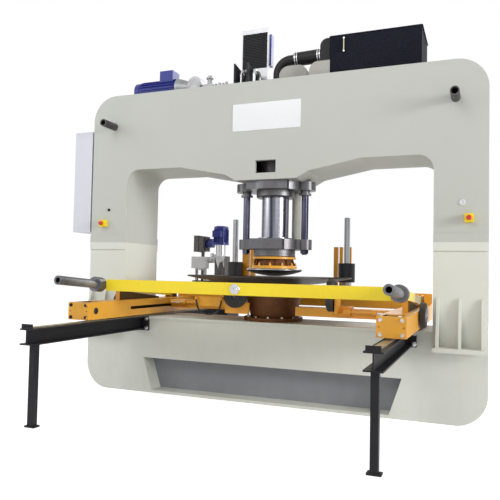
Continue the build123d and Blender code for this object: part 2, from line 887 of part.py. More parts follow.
def turn_radius(a, b, c, share=0.45):
    ab = (Vector(*b) - Vector(*a))
    bc = (Vector(*c) - Vector(*b))
    half_turn = radians(ab.get_angle(bc)) / 2
    return share * min(ab.length, bc.length) / tan(half_turn)


def soft_tube(points, thickness):
    radii = [turn_radius(*points[k:k + 3]) for k in range(len(points) - 2)]
    return hose_loop(points, radii, thickness)


def make_cylinder_pipe(side):
    z = bed_top + arm_lift + arm_height - 22
    y = arm_y(side) - arm_depth / 2 - 26 - 24
    xa, xb = side * (cylinder_near + 40), side * (cylinder_far - 30)
    points = [(xa, y, z), (xa, y - 36, z), (xb, y - 36, z), (xb, y, z)]
    return hose_loop(points, 16, pipe_size)


def make_unit_hose():
    x, y, z = left_drive_x - 146, left_drive_y + drive_width / 2 - 5, unit_port_z - 1.2
    half = unit_loop / 2
    points = [(-half, 0), (8 - half, -70), (-half + 58, -130), (half - 62, -134), (half - 8, -72), (half, 0)]
    return soft_tube([(x - half + dx, y, z + dz) for dx, dz in points], unit_hose_radius)


# Cabinet

def make_cabinet_body():
    x1 = -frame_width / 2 - cabinet_gap
    x0 = x1 - cabinet_depth + cabinet_door
    y0, y1 = front_y, front_y + cabinet_width
    body = block(x0, x1, y0, y1, cabinet_low, cabinet_high)
    body -= block(x0 - 5, x1 - 3, y0 + 3, y1 - 3, cabinet_low + 3, cabinet_high - 3)
    for z in (cabinet_low + 120, cabinet_high - 120):
        for y in (y0 + 90, y1 - 90):
            body += along_x(x1 - 2, x1 + cabinet_gap, y, z, 16)
        body += block(x0 - hinge_out, x0 + 40, y1, y1 + 4, z - 22, z + 22)
        body += upright(x0 - hinge_out, y1 + 8, z - 22, z + 22, 7)
        body -= upright(x0 - hinge_out, y1 + 8, z - 40, z + 40, 3.06)
    return solid_of(body)


def make_cabinet_door():
    x1 = -frame_width / 2 - cabinet_gap - cabinet_depth + cabinet_door
    x0 = x1 - cabinet_door
    y0, y1 = front_y, front_y + cabinet_width
    door = block(x0, x1 - 0.3, y0, y1, cabinet_low, cabinet_high)
    door = fillet(door.edges().filter_by(Axis.X), 5)
    for z in (cabinet_low + 120, cabinet_high - 120):
        axis_x = x1 - hinge_out
        for low, high in ((z - 46, z - 22.3), (z + 22.3, z + 46)):
            door += upright(axis_x, y1 + 8, low, high, 7)
            door += block(axis_x - 4, axis_x + 5, y1 - 1, y1 + 8, low, high)
        door += upright(axis_x, y1 + 8, z - 46, z + 46, 3)
    for z in (cabinet_low + 60, cabinet_high - 100):
        door += block(x0 - 9, x0 + 1, y0 + 18, y0 + 40, z - 24, z + 24)
    return solid_of(door)


# Emergency stops

def make_stop_box(x):
    y0 = front_y - stop_box_depth
    half = stop_box / 2
    body = block(x - half, x + half, y0, front_y, stop_z - half, stop_z + half)
    body = fillet(body.edges().filter_by(Axis.Y), 6)
    body -= along_y(x, y0 - 5, y0 + 30, stop_z, 11.08)
    body += along_y(x, y0 - 2, y0 + 1, stop_z, stop_ring_radius) - along_y(x, y0 - 5, y0 + 5, stop_z, 11.08)
    return solid_of(body)


def make_stop_button(x):
    y0 = front_y - stop_box_depth
    cap = along_y(x, y0 - 30, y0 - 10, stop_z, stop_cap_radius)
    cap = fillet(cap.faces().sort_by(Axis.Y)[0].edges(), 7)
    cap += along_y(x, y0 - 12, y0 + 22, stop_z, 11)
    return solid_of(cap)


# Hydraulics on top

def make_tank():
    z0, z1 = frame_height, frame_height + tank_height
    x0, x1 = tank_x - tank_length / 2, tank_x + tank_length / 2
    y0, y1 = -tank_depth / 2 + 10, tank_depth / 2 + 10
    tank = block(x0, x1, y0, y1, z0 + 14, z1)
    tank += block(x0 - 8, x1 + 8, y0 - 4, y1 + 4, z1 - 12, z1 - 6)
    for x in (x0 + 60, x1 - 60):
        tank += block(x - 30, x + 30, y0 + 20, y1 - 20, z0, z0 + 20)
    tank += upright(tank_x + 250, 40, z1 - 5, z1 + 22, 46)
    tank += upright(tank_x - 200, 60, z1 - 5, z1 + 10, 90)
    tank += block(x0 + 118, x0 + 130, y0 - 9, y0, z1 - 160, z1 - 30)
    tank -= block(x0 + tank_wall, x1 - tank_wall, y0 + tank_wall, y1 - tank_wall,
                  z0 + 14 + tank_wall, z1 - tank_wall)
    return solid_of(tank)


def make_cooler_frame():
    z0, z1 = frame_height + 30, frame_height + 30 + cooler_height
    x0, x1 = cooler_x - cooler_width / 2, cooler_x + cooler_width / 2
    y0, y1 = cooler_y - cooler_depth / 2, cooler_y + cooler_depth / 2
    frame = block(x0, x1, y0, y1, z0, z1)
    frame -= block(x0 + 8, x1 - 5, y0 - 5, y0 + 10, z0 + core_sill, z1 - 43)
    for x in (x0 + 20, x1 - 20):
        frame += block(x - 12, x + 12, y0 + 6, y1 + 60, frame_height, z0 + 4)
    return solid_of(frame)


def make_cooler_cowl():
    z0, z1 = frame_height + core_sill + 71, frame_height + cowl_top
    x0, x1 = cooler_x - cooler_width / 2 + 6, cooler_x + cooler_width / 2 + 14
    y0 = cooler_y + cooler_depth / 2
    cowl = block(x0, x1, y0, y0 + cowl_depth, z0, z1)
    cx, cz = (x0 + x1) / 2, (z0 + z1) / 2
    cowl -= along_y(cx, y0 + 8, y0 + cowl_depth + 5, cz, fan_radius)
    for turn in (0, 120, 240):
        cowl += Pos(cx, y0 + cowl_depth - 5, cz) * Rot(0, turn, 0) * Pos(62, 0, 0) * Box(124, 5, 14)
    cowl += along_y(cx, y0 + 34, y0 + cowl_depth, cz, 26)
    cowl += along_y(cx, y0 + 26, y0 + 36, cz, 7)
    return solid_of(cowl)


def make_cooler_fan():
    z0, z1 = frame_height + core_sill + 71, frame_height + cowl_top
    x0, x1 = cooler_x - cooler_width / 2 + 6, cooler_x + cooler_width / 2 + 14
    y0 = cooler_y + cooler_depth / 2
    cx, cz = (x0 + x1) / 2, (z0 + z1) / 2
    fan = along_y(cx, y0 + 12, y0 + 32, cz, 30)
    for k in range(6):
        fan += Pos(cx, y0 + 22, cz) * Rot(0, 60 * k, 0) * Pos(68, 0, 0) * Rot(24, 0, 0) * Box(86, 4, 40)
    return solid_of(fan - along_y(cx, y0 + 25, y0 + 40, cz, 7.06))


def make_top_motor():
    z = frame_height + motor_axis
    x0, x1 = motor_x - motor_length / 2, motor_x + motor_length / 2
    motor = along_x(x0, x1, motor_y, z, motor_radius)
    motor += along_x(x0 - 46, x0 + 5, motor_y, z, motor_radius + 6)
    for k in range(20):
        motor += (Pos((x0 + x1) / 2, motor_y, z) * Rot(18 * k, 0, 0)
                  * Pos(0, 0, motor_radius + 4) * Box(motor_length - 40, 5, 18))
    motor += block(x1 - 198, x1 - 46, motor_y - 70, motor_y + 70, z + 80, z + 192)
    for x in (x0 + 60, x1 - 60):
        motor += block(x - 26, x + 26, motor_y - 96, motor_y + 96, frame_height, frame_height + 14)
        motor += block(x - 20, x + 20, motor_y - 70, motor_y + 70, frame_height + 10, frame_height + 60)
    return solid_of(motor)


def make_pump_set():
    z = frame_height + motor_axis
    x = motor_x + motor_length / 2
    bell = Pos(x, motor_y, z) * Rot(0, 90, 0) * Solid.make_cone(motor_radius + 16, motor_radius - 30, bell_length)
    bell += along_x(x + bell_length - 2, x + bell_length + 60, motor_y, z, motor_radius - 44)
    pump = x + bell_length + 66
    bell += along_y(pump, motor_y - 70, motor_y + 60, z + 22, pump_radius)
    bell += block(pump - 46, pump + 46, motor_y - 50, motor_y + 50, frame_height, z)
    step = pump_radius + 20
    valve = pump + 2 * step - 44
    bell += block(pump, valve + 180, motor_y - 36, motor_y + 36, frame_height, frame_height + 70)
    bell += block(valve - 52, valve + 52, motor_y - 50, motor_y + 50, frame_height, z + 12)
    bell += upright(valve, motor_y - 10, z, z + 104, 24) + upright(valve, motor_y - 10, z + 70, z + 84, 36)
    for k in range(4):
        low = valve + 74 + k * 0.5 * pump_radius
        bell += upright(low, motor_y - 16, frame_height + 60, z + 12 + 10 * (k % 2), 16 - 2 * (k % 2))
    bell += along_x(valve, valve + 176, motor_y - 16, z - 24, 13)
    return solid_of(bell)


def make_bracket_plates():
    z0 = frame_height
    back = cooler_y - cooler_depth / 2 - 0.5
    shapes = []
    for x in bracket_places:
        profile = make_face(Polyline((bracket_front, z0), (bracket_front, z0 + bracket_rise),
                                     (back, z0 + 0.8 * bracket_rise), (back, z0), close=True))
        shapes.append(solid_of(Pos(x - 7, 0, 0) * extrude(Plane.YZ * profile, amount=14)))
    x1 = tank_x - tank_length / 2 - 8.5
    hood = block(x1 - hood_width, x1, -tank_depth / 2 + 30, tank_depth / 2 - 60, z0, z0 + tank_height - 6)
    top = hood.edges().filter_by(Axis.Y).group_by(Axis.Z)[-1].sort_by(Axis.X)[0]
    shapes.append(solid_of(fillet([top], 0.75 * hood_width)))
    return shapes


def make_braces():
    shapes = []
    for x in bracket_places:
        pipe = x + 46
        y0, y1 = bracket_front + 60, cooler_y - cooler_depth / 2 - 40
        top = frame_height + 0.8 * bracket_rise
        shapes.append(soft_tube([(pipe, y0, frame_height), (pipe, y0, top), (pipe, y1, top),
                                 (pipe, y1, frame_height)], pipe_radius))
    return shapes


def make_suction_hose():
    z0 = frame_height
    end = tank_x - tank_length / 2 - 9.9 - hood_width
    points = [(hose_x, 0, z0), (hose_x, 0, z0 + hose_rise), (end, 0, z0 + hose_rise + 14)]
    hose = hose_loop(points, 2.6 * hose_radius, hose_radius)
    middle = Vector((hose_x + end) / 2 + 0.14 * (end - hose_x), 0, z0 + hose_rise + 9)
    lean = Vector(end - hose_x, 0, 14)
    sleeve = Plane(origin=middle, z_dir=lean) * Cylinder(sleeve_radius, 0.56 * (end - hose_x))
    return solid_of(hose + sleeve)


def make_filter_pots():
    z0 = frame_height
    left = 70.0
    end = tank_x - tank_length / 2 - 0.5
    first = block(left, left + pot_length, -160, -sleeve_radius + 8, z0, z0 + pot_height)
    corner = first.edges().filter_by(Axis.Y).group_by(Axis.Z)[-1]
    first = fillet(corner, 0.55 * pot_height)
    second = block(left + pot_length + 40, end, -tank_depth / 2, -tank_depth / 2 + 29, z0, z0 + 0.9 * pot_height)
    corner = second.edges().filter_by(Axis.Y).group_by(Axis.Z)[-1].sort_by(Axis.X)[0]
    second = fillet([corner], 0.5 * pot_height)
    return solid_of(first), solid_of(second)


# Power unit behind the frame

def make_unit_tank():
    x0, x1 = unit_x - unit_width / 2, unit_x + unit_width / 2
    y0, y1 = unit_y - unit_depth / 2, unit_y + unit_depth / 2
    tank = block(x0, x1, y0, y1, 60, unit_height)
    tank += block(x0 - 10, x1 + 10, y0 - 10, y1 + 10, unit_height - 14, unit_height)
    for x in (x0 + 40, x1 - 40):
        for y in (y0 + 40, y1 - 40):
            tank += block(x - 30, x + 30, y - 30, y + 30, 0, 64)
    tank -= block(x0 + 5, x1 - 5, y0 + 5, y1 - 5, 65, unit_height - 19)
    return solid_of(tank)


def make_unit_motor():
    x, y = unit_x + unit_motor_shift, unit_y - 30
    z0 = unit_height + 470
    motor = upright(x, y, z0, z0 + 175, 84)
    cap = upright(x, y, z0 + 171, z0 + 212, 92)
    motor += chamfer(cap.edges().filter_by(GeomType.CIRCLE).group_by(Axis.Z)[-1], 14)
    motor += upright(x, y, z0 - 22, z0 + 4, 100)
    for k in range(20):
        motor += Pos(x, y, z0 + 88) * Rot(0, 0, 18 * k) * Pos(88, 0, 0) * Box(16, 5, 160)
    motor += block(x - 56, x + 56, y - 142, y - 76, z0 + 70, z0 + 150)
    return solid_of(motor)


def make_fan_drive():
    x, y, z = unit_x + fan_face, unit_y + fan_shift, unit_height + fan_centre
    drive = along_x(x, x + 86, y, z, 48) + along_x(x, x + 10, y, z, 58)
    return solid_of(drive + block(x + 20, x + 66, y - 28, y + 28, z + 40, z + 66))


def make_unit_valves():
    x, y = unit_x + 88, unit_y - 30
    z0 = unit_height
    body = block(x - 68, x + 68, y - 80, y + 80, z0, z0 + 307)
    body += upright(unit_x + unit_motor_shift, y, z0 + 300, z0 + 448, 60)
    bx = unit_x - 20
    body += block(bx - 60, x - 60, y - 60, y + 60, z0 + 220, z0 + 296)
    for dx, top, radius in ((-34, 344, 24), (8, 330, 15)):
        body += upright(bx + dx, y, z0 + 280, z0 + top, radius)
    body += along_y(bx - 20, y - 110, y + 20, z0 + 262, 22)
    body += along_y(x + 20, y - 130, y - 70, z0 + 240, 18)
    body += block(x - 20, x + 60, y - 120, y - 70, z0 + 60, z0 + 150)
    return solid_of(body)


def make_oil_cooler():
    z0 = unit_height
    face, fy, fz = unit_x + fan_face, unit_y + fan_shift, z0 + fan_centre
    cooler = block(face - 80, face - 48, fy - 15, fy + 15, z0, fz - 60)
    for x0, x1, half in ((face - 145, face - 80, 105), (face - 80, face - 15, 97)):
        cooler += block(x0, x1 + 1, fy - half, fy + half, fz - half + 2, fz + half - 2)
    cooler += along_x(face - 20, face, fy, fz, 90) - along_x(face - 12, face + 5, fy, fz, 80)
    cooler += along_x(face - 16, face, fy, fz, 44)
    return solid_of(cooler)


def make_pressure_lines():
    x0 = unit_x - unit_width / 2
    y1 = unit_y - unit_depth / 2
    return [solid_of(along_y(x0 + dx, back_y, y1, 430, 15)) for dx in (36, 96)]


def make_unit_box():
    z0 = unit_height + 150
    x0 = unit_x - 262
    y0 = unit_y - unit_depth / 2 - 10
    box = block(x0, x0 + 196, y0, y0 + 96, z0, z0 + 146)
    box = fillet(box.edges().filter_by(Axis.Y), 6)
    for x in (x0 + 40, x0 + 156):
        box += block(x - 12, x + 12, y0 + 50, y0 + 94, unit_height, z0 + 5)
    for x in (x0 + 50, x0 + 98, x0 + 146):
        box += upright(x, y0 + 40, z0 - 22, z0 + 2, 12)
    return solid_of(box)


def make_unit_cables():
    x0 = unit_x - 262
    y = unit_y - unit_depth / 2 + 30
    top = unit_height + 128
    shapes = []
    for x, lean in ((x0 + 50, 22), (x0 + 146, -18)):
        shapes.append(soft_tube([(x, y, top - 0.4), (x + 0.1 * lean, y, top - 38), (x + 0.9 * lean, y - 4, top - 86),
                                 (x + lean, y - 4, unit_height + 0.4)], 5))
    return shapes


def underside(radius):
    sphere = (blank_radius ** 2 + blank_depth ** 2) / (2 * blank_depth)
    rise = sphere - sqrt(sphere ** 2 - radius ** 2)
    return blank_rim_z - blank_depth + rise - blank_thick


unit_port_z = bed_top + arm_lift + arm_height + 36
left_z = underside(sqrt((left_drive_x - blank_x) ** 2 + left_drive_y ** 2) - 40) - left_drive_radius - 0.5
right_z = blank_rim_z - blank_thick - 2 - right_drive_radius

save("upper_yoke", make_upper_yoke())
save("lower_bed", make_lower_bed())
save("bed_plate", make_bed_plate())
save("shelf_brackets", *both_sides(make_bracket))
save("lifting_tubes", *[make_lifting_tube(side, facing) for side in (-1, 1) for facing in (-1, 1)])
save("blank_plate", make_blank_plate())
save("cabinet_body", make_cabinet_body())
save("cabinet_door", make_cabinet_door())
save("stop_boxes", make_stop_box(stop_left_x), make_stop_box(stop_right_x))
save("stop_button_left", make_stop_button(stop_left_x))
save("stop_button_right", make_stop_button(stop_right_x))
save("head_flange", make_head_flange())
save("gland_ring", make_gland(), *both_sides(make_bush))
save("cylinder_barrel", make_cylinder_barrel())
save("ram_rod", make_ram_rod())
save("guide_rods", *both_sides(make_guide_column), *both_sides(make_column_nut),
     *both_sides(make_return_rod))
save("platen", make_platen())
save("adapter_block", make_adapter_block())
save("ribbed_spacer", make_ribbed_spacer())
save("holder_flanges", make_holder_flange(), make_holder_base())
save("forming_die", make_forming_die())
save("die_drum", make_drum_base(), make_die_drum())
save("anvil_ring", make_anvil_ring())
for side, name in ((-1, "left"), (1, "right")):
    front = front_reach(side)
    save(f"rail_{name}", make_rail_run(side, -1, front), make_rail_run(side, 1, rail_rear),
         make_rail_stop(side, -1, front), make_rail_stop(side, 1, rail_rear))
save("running_bars", *both_sides(make_running_bar))
for side, name in ((-1, "left"), (1, "right")):
    save(f"side_beam_{name}", make_side_beam(side), make_end_plate(side),
         make_pivot_support(side), make_fork_rest(side))
    save(f"side_wheel_{name}", make_side_wheel(side))
    save(f"saddle_{name}", make_left_saddle() if side < 0 else make_right_saddle())
    save(f"drive_wheel_{name}", make_drive_wheel(side))
    save(f"edge_roller_{name}", make_edge_roller(side))
save("cross_arms", *both_sides(make_cross_arm), *both_sides(make_slide_cylinder))
save("rail_wheels_front", make_rail_wheel(-1, -wheel_front), make_rail_wheel(1, -wheel_front))
save("rail_wheels_rear", make_rail_wheel(-1, wheel_back), make_rail_wheel(1, wheel_back))
save("rear_beam", make_rear_beam())
save("spindles", *both_sides(make_spindle))
save("round_plate", make_round_plate())
save("fork_frame", make_fork_frame())
save("handle_tubes", *both_sides(make_handle_tube))
save("cylinder_pipes", *both_sides(make_cylinder_pipe))
save("unit_hose_loop", make_unit_hose())
save("tank", make_tank())
save("cooler_frame", make_cooler_frame())
save("cooler_cowl", make_cooler_cowl())
save("cooler_fan", make_cooler_fan())
save("top_motor", make_top_motor())
save("pump_set", make_pump_set(), *make_braces())
save("bracket_plates", *make_bracket_plates())
save("suction_hose", make_suction_hose())
save("filter_pots", *make_filter_pots())
save("unit_tank", make_unit_tank())
save("unit_motor", make_unit_motor(), make_fan_drive())
save("unit_valves", make_unit_valves(), make_oil_cooler(), *make_pressure_lines())
save("unit_box", make_unit_box())
save("unit_cables", *make_unit_cables())
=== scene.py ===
import bpy
import bmesh
from math import cos, hypot, pi, radians, sin
from mathutils import Matrix, Vector


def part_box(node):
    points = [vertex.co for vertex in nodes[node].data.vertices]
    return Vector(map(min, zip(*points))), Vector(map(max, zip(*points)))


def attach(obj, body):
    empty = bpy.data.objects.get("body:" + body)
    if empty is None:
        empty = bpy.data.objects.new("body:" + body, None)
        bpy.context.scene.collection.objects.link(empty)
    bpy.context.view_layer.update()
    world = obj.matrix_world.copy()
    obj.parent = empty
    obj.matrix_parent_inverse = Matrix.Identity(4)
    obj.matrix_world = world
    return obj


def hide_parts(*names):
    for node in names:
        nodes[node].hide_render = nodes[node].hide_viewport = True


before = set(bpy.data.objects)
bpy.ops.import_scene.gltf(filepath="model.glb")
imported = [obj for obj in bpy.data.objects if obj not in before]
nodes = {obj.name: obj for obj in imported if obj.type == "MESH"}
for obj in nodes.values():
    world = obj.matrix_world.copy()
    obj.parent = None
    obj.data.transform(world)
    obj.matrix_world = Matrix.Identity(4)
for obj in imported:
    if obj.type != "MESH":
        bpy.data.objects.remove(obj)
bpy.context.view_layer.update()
print("press frame loaded:", len(nodes), "pieces")

viewSet = {
    "place": (1.8466, -5.2294, 1.1689),
    "right": (0.928246, 0.371415, 0.020283),
    "up": (-0.004442, -0.043458, 0.999046),
    "ahead": (-0.371942, 0.927449, 0.038690),
    "lens": 42.21,
    "sensor": 36.0,
    "farClip": 200,
}


def makeCamera(spec):
    camData = bpy.data.cameras.new("pressCamera")
    camData.lens = spec["lens"]
    camData.sensor_width = spec["sensor"]
    camData.sensor_fit = "HORIZONTAL"
    camData.clip_end = spec["farClip"]
    cam = bpy.data.objects.new("pressCamera", camData)
    right, up, ahead = (Vector(spec[key]) for key in ("right", "up", "ahead"))
    turn = Matrix((right, up, -ahead)).transposed().to_4x4()
    cam.matrix_world = Matrix.Translation(spec["place"]) @ turn
    bpy.context.scene.collection.objects.link(cam)
    bpy.context.scene.camera = cam


room = {
    "white": (1.0, 1.0, 1.0, 1),
    "ambient": 0.52,
    "backdrop": 1.0,
    "floorColor": (0.86, 0.86, 0.86, 1),
    "floorGlow": 0.56,  # seen by the camera, in gloss and through glass only
    "floorHalf": 60,
    "floorDrop": 0.0005,
    "lamps": (
        # name, place, aim, size, watts
        ("keyLamp", (-2.2, -8.0, 7.0), (0.0, 0, 1.4), 4.0, 185),
        ("leftLamp", (-7.0, -5.0, 4.5), (-0.8, 0, 1.6), 4.0, 130),
        ("rearLamp", (1.5, 7.5, 6.5), (0, 0.3, 1.2), 5.0, 260),
        ("rightLamp", (13.0, -4.0, 3.5), (-1.2, -0.1, 1.5), 4.0, 1200),
    ),
}


def seenRays(nt):
    path = nt.nodes.new("ShaderNodeLightPath")
    total = path.outputs["Is Camera Ray"]
    for ray in ("Is Glossy Ray", "Is Transmission Ray"):
        join = nt.nodes.new("ShaderNodeMath")
        join.operation = "MAXIMUM"
        nt.links.new(total, join.inputs[0])
        nt.links.new(path.outputs[ray], join.inputs[1])
        total = join.outputs[0]
    return total


def mixBySight(nt, unseen, seen, out):
    mix = nt.nodes.new("ShaderNodeMixShader")
    nt.links.new(seenRays(nt), mix.inputs[0])
    nt.links.new(unseen.outputs[0], mix.inputs[1])
    nt.links.new(seen.outputs[0], mix.inputs[2])
    nt.links.new(mix.outputs[0], out.inputs[0])


def makeAir(spec):
    world = bpy.data.worlds.new("pressRoom")
    world.use_nodes = True
    bpy.context.scene.world = world
    nt = world.node_tree
    nt.nodes.clear()
    out = nt.nodes.new("ShaderNodeOutputWorld")
    light = nt.nodes.new("ShaderNodeBackground")
    light.inputs["Color"].default_value = spec["white"]
    light.inputs["Strength"].default_value = spec["ambient"]
    seen = nt.nodes.new("ShaderNodeBackground")
    seen.inputs["Color"].default_value = spec["white"]
    seen.inputs["Strength"].default_value = spec["backdrop"]
    mixBySight(nt, light, seen, out)


def makeLamp(name, place, aim, size, watts):
    lampData = bpy.data.lights.new(name, "AREA")
    lampData.shape = "SQUARE"
    lampData.size = size
    lampData.energy = watts
    lamp = bpy.data.objects.new(name, lampData)
    lamp.location = place
    lamp.rotation_euler = (Vector(aim) - Vector(place)).to_track_quat("-Z", "Y").to_euler()
    bpy.context.scene.collection.objects.link(lamp)


def makeFloor(spec):
    mesh = bpy.data.meshes.new("roomFloor")
    half = spec["floorHalf"]
    mesh.from_pydata([(-half, -half, 0), (half, -half, 0), (half, half, 0), (-half, half, 0)],
                     [], [(0, 1, 2, 3)])
    floor = bpy.data.objects.new("roomFloor", mesh)
    floor.location.z = -spec["floorDrop"]
    bpy.context.scene.collection.objects.link(floor)
    mat = bpy.data.materials.new("paleFloor")
    mat.use_nodes = True
    nt = mat.node_tree
    nt.nodes.clear()
    out = nt.nodes.new("ShaderNodeOutputMaterial")
    soft = nt.nodes.new("ShaderNodeBsdfDiffuse")
    soft.inputs["Color"].default_value = spec["floorColor"]
    glow = nt.nodes.new("ShaderNodeEmission")
    glow.inputs["Color"].default_value = spec["white"]
    glow.inputs["Strength"].default_value = spec["floorGlow"]
    both = nt.nodes.new("ShaderNodeAddShader")
    nt.links.new(soft.outputs[0], both.inputs[0])
    nt.links.new(glow.outputs[0], both.inputs[1])
    mixBySight(nt, soft, both, out)
    mesh.materials.append(mat)


makeCamera(viewSet)
bpy.context.scene.view_settings.view_transform = "Standard"
makeAir(room)
for lampRow in room["lamps"]:
    makeLamp(*lampRow)
makeFloor(room)
print("camera and room set")


def newGroup(name, ins, outs):
    group = bpy.data.node_groups.new(name, "ShaderNodeTree")
    for label, value in ins.items():
        sock = group.interface.new_socket(label, in_out="INPUT", socket_type="NodeSocketFloat")
        sock.default_value = value
    for label in outs:
        group.interface.new_socket(label, in_out="OUTPUT", socket_type="NodeSocketFloat")
    gin = group.nodes.new("NodeGroupInput")
    gout = group.nodes.new("NodeGroupOutput")
    return group, gin, gout


def mathNode(nt, op, a, b=None, clamp=False):
    n = nt.nodes.new("ShaderNodeMath")
    n.operation = op
    n.use_clamp = clamp
    for k, v in enumerate((a, b)):
        if v is None:
            continue
        if isinstance(v, (int, float)):
            n.inputs[k].default_value = v
        else:
            nt.links.new(v, n.inputs[k])
    return n.outputs[0]


def vectorMath(nt, op, a, b, second=1):
    n = nt.nodes.new("ShaderNodeVectorMath")
    n.operation = op
    nt.links.new(a, n.inputs[0])
    if isinstance(b, tuple):
        n.inputs[second].default_value = b
    else:
        nt.links.new(b, n.inputs[second])
    return n.outputs[0]


def mapRange(nt, value, span, to=(0.0, 1.0)):
    n = nt.nodes.new("ShaderNodeMapRange")
    for label, number in zip(("From Min", "From Max", "To Min", "To Max"), (*span, *to)):
        n.inputs[label].default_value = number
    nt.links.new(value, n.inputs["Value"])
    return n.outputs["Result"]


def noiseTex(nt, vector, scale, detail, rough):
    n = nt.nodes.new("ShaderNodeTexNoise")
    n.inputs["Detail"].default_value = detail
    n.inputs["Roughness"].default_value = rough
    if isinstance(scale, (int, float)):
        n.inputs["Scale"].default_value = scale
    else:
        nt.links.new(scale, n.inputs["Scale"])
    nt.links.new(vector, n.inputs["Vector"])
    return n.outputs["Fac"]


def splitXyz(nt, vector):
    n = nt.nodes.new("ShaderNodeSeparateXYZ")
    nt.links.new(vector, n.inputs[0])
    return n.outputs


def objectPlace(nt):
    return nt.nodes.new("ShaderNodeTexCoord").outputs["Object"]


mottleLook = {"slow": (4, 0.55), "fast": (2, 0.6)}  # detail and roughness of the noise


def makeMottle(look):  # slow colour drift plus fine speckle
    sockets = {"Patch Scale": 2.0, "Speck Scale": 60.0, "Speck Share": 0.3}
    g, gin, gout = newGroup("paintMottle", sockets, ["Value"])
    place = objectPlace(g)
    slow = noiseTex(g, place, gin.outputs["Patch Scale"], *look["slow"])
    fast = noiseTex(g, place, gin.outputs["Speck Scale"], *look["fast"])
    share = gin.outputs["Speck Share"]
    keep = mathNode(g, "SUBTRACT", 1.0, share)
    total = mathNode(g, "ADD", mathNode(g, "MULTIPLY", slow, keep),
                     mathNode(g, "MULTIPLY", fast, share), True)
    g.links.new(total, gout.inputs["Value"])
    return g


grimeLook = {
    "dripStretch": (9.0, 9.0, 1.2), "drips": (1.6, 5, 0.6), "dripSpan": (0.45, 0.75), "dripShare": 0.5,
    "clouds": (7.0, 5, 0.62), "cloudSpan": (0.4, 0.75), "cloudShare": 0.6,
    "ledgeSpan": (0.5, 1.0), "ledgeShare": 0.7, "lowShare": 0.8,
}


def makeGrime(look):  # dirt that gathers low down, on ledges and in drips
    g, gin, gout = newGroup("shopGrime", {"Amount": 0.3, "Low": 0.0, "High": 1.0}, ["Mask"])
    place = objectPlace(g)
    height = splitXyz(g, place)["Z"]
    span = mathNode(g, "SUBTRACT", gin.outputs["High"], gin.outputs["Low"])
    rise = mathNode(g, "DIVIDE", mathNode(g, "SUBTRACT", height, gin.outputs["Low"]), span, True)
    low = mathNode(g, "SUBTRACT", 1.0, rise, True)
    squeezed = vectorMath(g, "MULTIPLY", place, look["dripStretch"])
    drips = mapRange(g, noiseTex(g, squeezed, *look["drips"]), look["dripSpan"])
    clouds = mapRange(g, noiseTex(g, place, *look["clouds"]), look["cloudSpan"])
    mixed = mathNode(g, "ADD", mathNode(g, "MULTIPLY", drips, look["dripShare"]),
                     mathNode(g, "MULTIPLY", clouds, look["cloudShare"]))
    upward = splitXyz(g, g.nodes.new("ShaderNodeNewGeometry").outputs["Normal"])["Z"]
    ledge = mathNode(g, "MULTIPLY", mapRange(g, upward, look["ledgeSpan"]), look["ledgeShare"])
    where = mathNode(g, "ADD", mathNode(g, "MULTIPLY", low, look["lowShare"]), ledge, True)
    mask = mathNode(g, "MULTIPLY", mathNode(g, "MULTIPLY", mixed, where), gin.outputs["Amount"], True)
    g.links.new(mask, gout.inputs["Mask"])
    return g


scuffLook = {
    "bend": (2.2, 2, 0.5), "lineWidth": 0.018,
    "patches": (5.0, 4, 0.6), "patchSpan": (0.56, 0.66),
    "chips": (34.0, 4, 0.62), "chipSpan": (0.66, 0.7), "chipShare": 0.8,
}


def makeScuff(look):  # thin random scratches and chips
    g, gin, gout = newGroup("handlingScuffs", {"Scale": 18.0, "Amount": 0.4}, ["Mask"])
    place = objectPlace(g)
    bent = vectorMath(g, "ADD", place, noiseTex(g, place, *look["bend"]))
    cells = g.nodes.new("ShaderNodeTexVoronoi")
    cells.feature = "DISTANCE_TO_EDGE"
    g.links.new(bent, cells.inputs["Vector"])
    g.links.new(gin.outputs["Scale"], cells.inputs["Scale"])
    lines = mapRange(g, cells.outputs["Distance"], (0.0, look["lineWidth"]), (1.0, 0.0))
    patches = mapRange(g, noiseTex(g, place, *look["patches"]), look["patchSpan"])
    chips = mapRange(g, noiseTex(g, place, *look["chips"]), look["chipSpan"])
    both = mathNode(g, "ADD", mathNode(g, "MULTIPLY", lines, patches),
                    mathNode(g, "MULTIPLY", chips, look["chipShare"]), True)
    g.links.new(mathNode(g, "MULTIPLY", both, gin.outputs["Amount"], True), gout.inputs["Mask"])
    return g


latheLook = {"rings": (1.0, 3, 0.7), "streaks": (1.0, 4, 0.6), "streakStretch": (3.2, 3.2, 0.35)}


def makeLathe(look):  # turning marks round a vertical axis, and streaks that run along it
    g, gin, gout = newGroup("latheMarks", {"Rings": 420.0}, ["Value", "Streak"])
    x, y, z = splitXyz(g, objectPlace(g))
    squares = mathNode(g, "ADD", mathNode(g, "MULTIPLY", x, x), mathNode(g, "MULTIPLY", y, y))
    reach = mathNode(g, "SQRT", squares)
    section = g.nodes.new("ShaderNodeCombineXYZ")
    g.links.new(reach, section.inputs["X"])
    g.links.new(z, section.inputs["Z"])
    wide = vectorMath(g, "SCALE", section.outputs[0], gin.outputs["Rings"], "Scale")
    g.links.new(noiseTex(g, wide, *look["rings"]), gout.inputs["Value"])
    around = g.nodes.new("ShaderNodeCombineXYZ")
    g.links.new(mathNode(g, "DIVIDE", x, reach), around.inputs["X"])
    g.links.new(mathNode(g, "DIVIDE", y, reach), around.inputs["Y"])
    g.links.new(z, around.inputs["Z"])
    tall = vectorMath(g, "MULTIPLY", around.outputs[0], look["streakStretch"])
    g.links.new(noiseTex(g, tall, *look["streaks"]), gout.inputs["Streak"])
    return g


groups = {
    "mottle": makeMottle(mottleLook),
    "grime": makeGrime(grimeLook),
    "scuff": makeScuff(scuffLook),
    "lathe": makeLathe(latheLook),
}
print("node groups built")

